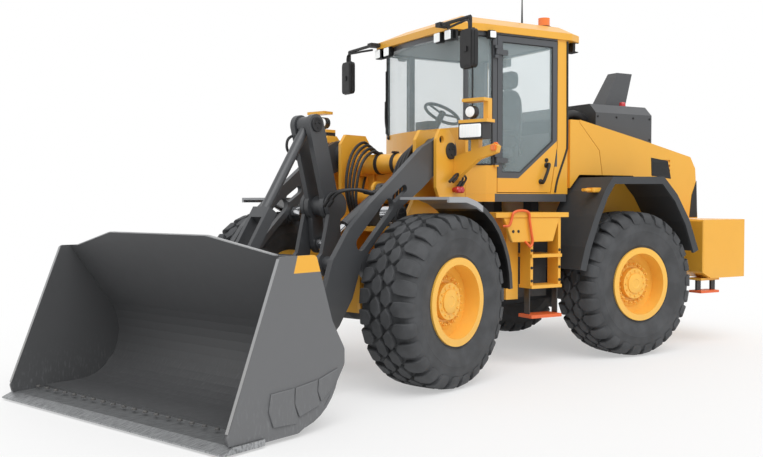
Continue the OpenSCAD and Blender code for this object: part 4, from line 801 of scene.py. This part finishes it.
def cushion(at, size):
    """A crowned cushion with rounded corners and a dent at its middle seam."""
    rings = []
    for k in range(15):
        t = -1 + 2 * k / 14
        girth = max((1 - abs(t) ** CROWN_POWER) ** (1 / CROWN_POWER), END_SHARE)
        girth *= 1 - SEAM_SHARE * math.exp(-((t / SEAM_WIDTH_SHARE) ** 2))
        ring = []
        for m in range(28):
            c, s = math.cos(2 * math.pi * m / 28), math.sin(2 * math.pi * m / 28)
            reach = girth * (abs(c) ** CORNER_POWER + abs(s) ** CORNER_POWER) ** (-1 / CORNER_POWER)
            ring.append((at[0] + size[0] * reach * c, at[1] + size[1] * t, at[2] + size[2] * reach * s))
        rings.append(ring)
    shape = Shape(REAR)
    shape.skin(rings)
    return shape


def seat():
    """Driver's seat: crowned cushions on a suspension base with arm rests."""
    for name, (at, size) in CUSHIONS.items():
        replaced = ["seat"] if name == "seat_cushion" else ()
        piece = cushion(at, size).done(name, "rear", CLOTH, "cloth", replaced, 60)
    base = Shape(REAR)
    base.slab((-0.66, -0.33), 0, 0.17, (1.607, 1.66), 0.01)
    for k in range(5):
        pinch, low = 0.012 * (k % 2), 1.66 + BELLOWS_FOLD * k
        base.slab((-0.65 + pinch, -0.34 - pinch), 0, 0.16, (low, low + BELLOWS_FOLD), 0.018)
    base.slab((-0.70, -0.26), 0, 0.22, (1.93, 1.975), 0.012)
    for sign in SIDES.values():
        y = sign * ARM_REST_Y
        base.slab((-0.66, -0.33), y, 0.035, (2.20, 2.25), 0.015)
        base.tube([(-0.70, y, 2.0), (-0.68, y, 2.12), (-0.62, y, 2.21)], 0.018)
        base.tube([(-0.765, sign * 0.05, 2.66), (-0.78, sign * 0.05, 2.74)], 0.009)
    base.done("seat_base", "rear", MATT_BLACK, "black_plastic")


def cab_inside():
    """Dashboard, rear wall, side console with levers and the lining under the roof."""
    lever_y = -0.50
    knob = [(0.012, 0), (0.018, 0.015), (0.018, 0.035), (0.008, 0.045)]
    shape = Shape(REAR)
    shape.slab((0.16, 0.33), 0, 0.46, (2.12, 2.225), 0.03)
    shape.slab((-0.895, -0.84), 0, 0.68, (1.63, 2.22), 0.02)
    shape.slab((-0.62, -0.12), -0.53, 0.11, (1.61, 2.13), 0.03)
    for k in range(3):
        x = -0.30 + 0.06 * k
        shape.tube([(x, lever_y, 2.12), (x + 0.01, lever_y, 2.20), (x + 0.03, lever_y, 2.25)], 0.008)
        shape.lathe((x + 0.03, lever_y, 2.245), UP, knob, 16)
    shape.slab((-0.89, 0.28), 0, 0.68, (3.085, 3.112), 0.01)
    shape.done("cab_lining", "rear", LINING, "black_plastic")


def roof_fittings():
    """Feet of the beacon and the aerial."""
    shape = Shape(REAR)
    shape.lathe((-0.963, 0.35, ROOF_TOP), UP, [(0.075, -0.004), (0.075, 0.022), (0.062, 0.03)], 32)
    shape.lathe((-0.797, 0.2, ROOF_TOP), UP, [(0.03, -0.002), (0.03, 0.02), (0.016, 0.04)], 24)
    shape.done("roof_feet", "rear", MATT_BLACK, "black_plastic")


wiper()
door_handle()
door_seal()
cab_strips()
mirror_fittings()
roof_lamp_lenses()
headlamp_glass()
seat()
cab_inside()
roof_fittings()


# Lifting gear fittings
# Pins with a cap at each end: place along and up, distance of the caps from the middle, radius
CAPPED_PINS = {
    "front": [(0.90, 1.98, 0.692, 0.075), (0.65, 0.70, 0.604, 0.05)],
    "boom": [(2.613, 0.439, 0.652, 0.075), (1.56, 1.42, 0.652, 0.06)],
    "lever": [(2.015, 2.175, 0.115, 0.062)],
}
BEAM_AT = (0.80, 1.89)
BEAM_HALF = 0.429
COUPLER_WAY = (0.2, 1, 0)


def pin_caps():
    """Pin ends with their keeper bolts."""
    for body, pins in CAPPED_PINS.items():
        shape = Shape(FRONT)
        for x, z, y, r in pins:
            rim = [(r, -0.004), (r, 0.008), (r - 0.004, 0.012), (r * 0.62, 0.012)]
            cap = [*rim, (r * 0.6, 0.009), (0.004, 0.009)]
            for sign in SIDES.values():
                at, way = Vector((x, sign * y, z)), Vector((0, sign, 0))
                shape.lathe(at, way, cap, 40)
                for k in range(3):
                    a = 2 * math.pi * k / 3 + 0.4
                    spoke = Vector((math.cos(a), 0, math.sin(a)))
                    shape.bolt(at + spoke * r * 0.42 + way * 0.009, way, 0.008, 0.008)
        shape.done("pin_caps_" + body, body, DARK_IRON, "black_metal")


def hose(shape, points, radius):
    """A hydraulic hose with a crimped ferrule at each end."""
    ferrule = [(radius * 1.35, -0.01), (radius * 1.35, 0.05), (radius * 1.05, 0.06)]
    shape.tube(points, radius)
    for a, b in ((points[0], points[1]), (points[-1], points[-2])):
        shape.lathe(a, Vector(b) - Vector(a), ferrule, 14)


def front_hoses():
    """Hoses over the towers and down beside them, and the valve block between."""
    shape, block = Shape(FRONT), Shape(FRONT)
    over = [
        (0.72, 1.0, 2.02), (0.86, 1.0, 2.10), (1.02, 0.98, 2.02), (1.12, 0.95, 1.85), (1.16, 0.9, 1.62),
    ]
    beside = [(0.70, 0.42, 1.90), (0.80, 0.415, 1.72), (0.84, 0.41, 1.52), (0.80, 0.40, 1.33)]
    valve = [(0.03, -0.004), (0.03, 0.05), (0.022, 0.06), (0.022, 0.09), (0.012, 0.10)]
    for sign in SIDES.values():
        for k in range(4):
            y, drop = sign * (0.36 - 0.045 * k), 0.03 * k
            route = [(x, y * share, z - drop) for x, share, z in over]
            hose(shape, [*route, (1.10, y * 0.86, 1.40), (1.02, y * 0.8, 1.30)], 0.014)
        hose(shape, [(x, sign * y, z) for x, y, z in beside], 0.012)
    block.slab((0.74, 0.98), 0, 0.22, (1.30, 1.44), 0.008)
    for k in range(5):
        block.lathe((0.86, -0.18 + 0.09 * k, 1.44), UP, valve, 20)
    shape.done("tower_hoses", "front", HOSE, "black_plastic")
    block.done("valve_block", "front", ENGINE, "iron")


def boom_hoses():
    """Hoses clipped along the inside of the boom to the lever, and the lever's own hose."""
    along = [
        (1.02, 0.0, 2.03), (1.20, 0.0, 1.92), (1.42, 0.0, 1.77), (1.62, -0.01, 1.64), (1.74, -0.03, 1.60),
    ]
    inward = [(1.74, 0.12, 1.60), (1.86, 0.02, 1.63), (1.96, -0.10, 1.60), (1.98, -0.18, 1.50)]
    bend = [(1.99, 2.06), (2.05, 2.09), (2.12, 2.05), (2.125, 1.97), (2.05, 1.91), (1.96, 1.88)]
    shape, loop = Shape(FRONT), Shape(FRONT)
    for k in range(3):
        hose(shape, [(x, 0.575 - 0.034 * k + shift, z) for x, shift, z in along], 0.014)
    for k in range(2):
        hose(shape, [(x, 0.40 - 0.05 * k + shift, z) for x, shift, z in inward], 0.013)
    for x, _, z in along[1:4]:
        shape.slab((x - 0.02, x + 0.02), 0.546, 0.056, (z - 0.03, z + 0.03), 0.006)
    hose(loop, [(x, -0.125, z) for x, z in bend], 0.012)
    shape.done("boom_hoses", "boom", HOSE, "black_plastic")
    loop.done("lever_hose", "lever", HOSE, "black_plastic")


def frame_beam():
    """Cross beam between the towers with its end collars and clamps, on a ribbed saddle plate."""
    x, z = BEAM_AT
    collar = [(0.118, 0), (0.118, 0.025), (0.1, 0.04), (0.095, 0.05)]
    far_collar = [(r, 2 * BEAM_HALF - h) for r, h in collar[::-1]]
    clamp = [(0.094, 0), (0.101, 0.002), (0.101, 0.038), (0.094, 0.04)]
    shape, clamps = Shape(FRONT), Shape(FRONT)
    shape.lathe((x, -BEAM_HALF, z), ACROSS, [*collar, *far_collar], 40)
    shape.slab((0.745, 0.767), 0, 0.395, (1.36, 1.85), 0.005)
    for y in (-0.3, 0.3):
        shape.slab((0.76, 0.80), y, 0.01, (1.4, 1.82), 0.004)
    for y in (-0.2, 0.0, 0.2):
        clamps.lathe((x, y - 0.02, z), ACROSS, clamp, 40)
        clamps.slab((0.79, 0.87), y, 0.018, (1.985, 2.005), 0.005)
    shape.done("frame_beam", "front", PAINT, "yellow_paint")
    clamps.done("beam_clamps", "front", DARK_IRON, "black_metal")


def couplers():
    """Red quick couplers with their looped hoses on the left cheek."""
    body = [(0.024, 0), (0.024, 0.035), (0.03, 0.036), (0.03, 0.07), (0.02, 0.08)]
    bend = [(-0.03, 0.71, 1.66), (-0.07, 0.74, 1.74), (0.03, 0.745, 1.775), (0.12, 0.735, 1.71)]
    red, loops = Shape(FRONT), Shape(FRONT)
    for x in (0.80, 0.85):
        red.lathe((x, 0.688, 1.635), COUPLER_WAY, body, 24)
        hose(loops, [(x + shift, y, z) for shift, y, z in bend], 0.01)
    red.done("couplers", "front", RED, "orange_paint")
    loops.done("coupler_hoses", "front", HOSE, "black_plastic")


pin_caps()
front_hoses()
boom_hoses()
frame_beam()
couplers()


# Bucket fittings
# Back plate: lean, middle of the bend along and up, radii of the outer and inner face
BACK_LEAN = math.radians(53.1)
BACK_BEND = (3.4, 0.45)
BACK_RADII = (0.4, 0.375)
SIDE_PLATE = (1.2525, 1.2755)
WEAR_PLATE = (1.274, 1.287)
EDGE_BOLTS = 20
EDGE_BOLT_REACH = 1.2
# Top rim of the back plate: places across and up
GUARD_RIM = [(-1.14, 1.183), (-0.57, 1.298), (-0.55, 1.3), (0.55, 1.3), (0.57, 1.298), (1.14, 1.183)]
SIDE_RIM = [(3.995, 0.135), (3.566, 1.166), (3.569, 1.168), (3.998, 0.137)]
WEAR_OUTLINES = [
    [
        (3.646, 0.324), (3.668, 0.215), (3.629, 0.108), (3.43, 0.10),
        (3.412, 0.136), (3.452, 0.23), (3.442, 0.332),
    ],
    [(3.43, 0.332), (3.44, 0.23), (3.40, 0.136), (3.225, 0.18), (3.207, 0.20), (3.24, 0.28), (3.227, 0.355)],
    [(3.215, 0.355), (3.228, 0.28), (3.195, 0.205), (3.09, 0.285), (3.045, 0.335), (3.03, 0.405)],
]


def bucket_back(z):
    """Places along of the back plate's outer and inner face at a height."""
    x, low = BACK_BEND
    slope = math.tan(BACK_LEAN)
    return [x - r * math.sin(BACK_LEAN) + (z - low - r * math.cos(BACK_LEAN)) / slope for r in BACK_RADII]


def bucket_fittings():
    """Bolt row of the cutting edge, rubbed lips along the bucket's rims and wear plates on its sides."""
    bolts, lips, wear = Shape(FRONT), Shape(FRONT), Shape(FRONT)
    for k in range(EDGE_BOLTS):
        y = EDGE_BOLT_REACH * (2 * k / (EDGE_BOLTS - 1) - 1)
        bolts.lathe((3.80, y, 0.083), UP, [(0.018, -0.006), (0.018, 0.004), (0.011, 0.01)], 16)
    rings = []
    for y, z in GUARD_RIM:
        outer, inner = bucket_back(z)
        back, fore, low, top = outer - 0.002, inner + 0.002, z - 0.003, z + 0.004
        rings.append([(back, y, low), (fore, y, low), (fore, y, top), (back, y, top)])
    lips.skin(rings)
    for sign in SIDES.values():
        lips.plate(SIDE_RIM, *span(sign, SIDE_PLATE), 0)
        for outline in WEAR_OUTLINES:
            wear.plate(outline, *span(sign, WEAR_PLATE), 0.004)
    bolts.done("edge_bolts", "bucket", GREY, "worn_steel")
    lips.done("bucket_lips", "bucket", LIP, "bucket_steel")
    wear.done("wear_plates", "bucket", NODE_LOOKS["bucket"], "bucket_steel")


bucket_fittings()


# Rear body fittings
VENT = [(-2.08, 1.995), (-2.33, 1.965), (-2.38, 1.775), (-2.09, 1.805)]
HOOD_CORNER = [(-2.665, 1.362), (-2.70, 1.60), (-2.772, 1.76), (-2.788, 1.362)]
BOX_SIDE = 0.641
TAIL_LAMP_Y = 0.62
PLATFORM_EDGE = 1.10
TRAY_FACE = 1.142
LADDER_FACE = 1.13
LOOP_Y = 1.166
LOOP_FOOT_Y = 1.135
TRAY = [(-0.50, 1.386), (0.16, 1.386), (0.06, 1.16), (-0.42, 1.16)]
GRAB_LOOP = [
    (0.116, 1.315), (0.085, 1.376), (0.063, 1.43), (-0.019, 1.449), (-0.106, 1.431), (-0.121, 1.352),
    (-0.14, 1.249), (-0.155, 1.165), (-0.129, 1.12), (-0.10, 1.14),
]


def hood_fittings():
    """Slatted side vents, dark rear corners and tail grille of the hood."""
    shape = Shape(REAR)
    for sign in SIDES.values():
        shape.plate(VENT, *span(sign, (0.757, 0.765)), 0.003)
        for k in range(5):
            z = 1.818 + 0.029 * k
            shape.slab((-2.345 + 0.004 * k, -2.105), sign * 0.766, 0.003, (z, z + 0.012), 0.002)
        shape.plate(HOOD_CORNER, *span(sign, (0.758, 0.766)), 0.002)
    shape.slab((-2.801, -2.786), 0, 0.54, (1.435, 1.855), 0.004)
    for k in range(14):
        z = 1.45 + 0.028 * k
        shape.slab((-2.814, -2.797), 0, 0.52, (z, z + 0.014), 0.003)
    shape.done("hood_trim", "hood", MATT_BLACK, "black_plastic")


def exhaust_fittings():
    """Bolts of the exhaust box, the filler cap and the intake pipes."""
    filler = [(0.035, -0.004), (0.035, 0.03), (0.028, 0.045), (0.01, 0.05)]
    wide = [
        (-1.11, 0.46, 2.30), (-1.14, 0.47, 2.40), (-1.26, 0.48, 2.43), (-1.40, 0.48, 2.38),
        (-1.43, 0.48, 2.36),
    ]
    narrow = [(-1.11, 0.28, 2.30), (-1.16, 0.28, 2.38), (-1.30, 0.28, 2.40), (-1.42, 0.28, 2.36)]
    bolts, cap, pipes = Shape(REAR), Shape(REAR), Shape(REAR)
    for sign in SIDES.values():
        for x in (-1.44, -1.70, -1.94, -2.18):
            for z in (2.19, 2.41):
                bolts.bolt((x, sign * BOX_SIDE, z), (0, sign, 0), 0.009, 0.009)
    cap.lathe((-1.92, 0.50, 2.545), UP, filler, 24)
    pipes.tube(wide, 0.045, 16)
    pipes.tube(narrow, 0.035, 16)
    bolts.done("box_bolts", "rear", DARK_IRON, "black_metal")
    cap.done("filler_cap", "rear", RED, "orange_paint")
    pipes.done("intake_pipes", "rear", HOSE, "black_plastic")


def tail_lamps():
    """Lamp clusters in the counterweight's rear face."""
    glass, case = Shape(REAR), Shape(REAR)
    for sign in SIDES.values():
        y = sign * TAIL_LAMP_Y
        case.slab((-3.408, -3.39), y, 0.13, (0.93, 1.05), 0.006)
        glass.slab((-3.416, -3.404), y - 0.0475, 0.0675, (0.945, 1.035), 0.004)
    case.done("tail_lamp_cases", "rear", MATT_BLACK, "black_plastic")
    glass.done("tail_lamp_glass", "rear", RED, "orange_lens")


def platform_fittings():
    """Trays under the platforms' edges, grab loops, the fenders' lamp brackets and the ladders' bolts."""
    spots = [(x, LADDER_FACE, z) for x in (-0.175, -0.505) for z in (0.80, 0.92, 1.08)]
    spots += [(x, TRAY_FACE, 1.26) for x in (0.05, -0.01)]
    loops, panels, bolts = Shape(REAR), Shape(REAR), Shape(REAR)
    for sign in SIDES.values():
        edge, foot = sign * PLATFORM_EDGE, sign * LOOP_FOOT_Y
        loop = [(x, sign * LOOP_Y, z) for x, z in GRAB_LOOP]
        loops.tube([(0.16, foot, 1.31), *loop, (-0.09, foot, 1.165)], 0.012)
        panels.plate(TRAY, *span(sign, (PLATFORM_EDGE, TRAY_FACE)), 0.006)
        panels.slab((-1.06, -0.90), edge, 0.05, (1.62, 1.665), 0.008)
        panels.slab((-0.91, -0.82), edge, 0.03, (1.628, 1.658), 0.008)
        for x, y, z in spots:
            bolts.bolt((x, sign * y, z), (0, sign, 0), 0.011, 0.008)
    loops.done("grab_loops", "rear", ORANGE_PAINT, "orange_paint")
    panels.done("platform_trays", "rear", PAINT, "yellow_paint")
    bolts.done("ladder_bolts", "rear", DARK_IRON, "black_metal")


hood_fittings()
exhaust_fittings()
tail_lamps()
platform_fittings()


# Camera at the photograph's place, floor and soft light
CAMERA_AT = REAR @ Vector((5.271, 7.751, 1.528))
CAMERA_YAW = math.radians(-120.169)
CAMERA_PITCH = math.radians(-1.655)
PHOTO_WIDTH = 763
FOCAL_PIXELS = 921.7
SENSOR_WIDTH = 36
FLOOR_RINGS = (80, 30, 8, 0.5)
FLOOR_STEPS = 64
FLOOR_GREY = (0.93, 0.93, 0.93)
WHITE = (1.0, 1.0, 1.0)
SKY_LIGHT = 0.62
KEY_LIGHT = 1.7
KEY_SPREAD = math.radians(50)
KEY_WAY = (-0.15, -0.65, -0.9)


def face(thing, way):
    """Turns a camera or lamp to look a way."""
    thing.rotation_mode = "QUATERNION"
    thing.rotation_quaternion = Vector(way).to_track_quat("-Z", "Y")


def camera():
    """Camera fitted to the photograph."""
    data = bpy.data.cameras.new("camera")
    data.sensor_width = SENSOR_WIDTH
    data.lens = FOCAL_PIXELS / PHOTO_WIDTH * SENSOR_WIDTH
    data.clip_end = 300
    made = add("camera", data)
    made.location = CAMERA_AT
    face(made, (math.cos(CAMERA_YAW), math.sin(CAMERA_YAW), math.tan(CAMERA_PITCH)))
    bpy.context.scene.camera = made


def seen_ray(look):
    """1 for rays from the camera, from gloss and through glass."""
    kinds = ("Is Camera Ray", "Is Glossy Ray", "Is Transmission Ray")
    rays = [look.node("LightPath", out=kind) for kind in kinds]
    return rays[0].math("MAXIMUM", rays[0].math("MAXIMUM", rays[0], rays[1]), rays[2])


def floor():
    """Pale floor that fades into the white background."""
    shape = Shape(Matrix())
    turns = [2 * math.pi * k / FLOOR_STEPS for k in range(FLOOR_STEPS)]
    rings = [[(r * math.cos(t), r * math.sin(t), 0) for t in turns] for r in FLOOR_RINGS]
    shape.skin(rings, caps=False)
    shape.bm.faces.new([shape.bm.verts.new(p) for p in rings[-1]])
    bmesh.ops.recalc_face_normals(shape.bm, faces=shape.bm.faces)
    look = Look("studio_floor")
    look.finish(FLOOR_GREY, 0.6 + look.noise(2) * 0.1, specular_ior_level=0.1)
    white = look.node("Emission", None, {"Color": WHITE})
    distance = look.node("VectorMath", {"operation": "LENGTH"}, {0: look.place}, out="Value")
    ground = Wire(look, look.shader.outputs[0])
    fade = (0.45 + distance.rise(3.0, 7.0) * 0.55) * seen_ray(look)
    surface = look.node("MixShader", None, {0: fade, 1: ground, 2: white})
    look.feed(look.output.inputs["Surface"], surface)
    mesh = bpy.data.meshes.new("studio_floor")
    shape.bm.to_mesh(mesh)
    mesh.materials.append(look.material)
    add("studio_floor", mesh)


def lights():
    """An even white sky and a wide key light."""
    world = bpy.data.worlds.new("studio_sky")
    world.use_nodes = True
    bpy.context.scene.world = world
    sky = Look.__new__(Look)
    sky.tree = world.node_tree
    background = sky.tree.nodes["Background"]
    sky.feed(background.inputs["Color"], WHITE)
    sky.feed(background.inputs["Strength"], SKY_LIGHT + seen_ray(sky) * (1 - SKY_LIGHT))
    key = bpy.data.lights.new("key_light", "SUN")
    key.energy = KEY_LIGHT
    key.angle = KEY_SPREAD
    face(add("key_light", key), KEY_WAY)


camera()
floor()
lights()
bpy.context.scene.view_settings.view_transform = "Standard"
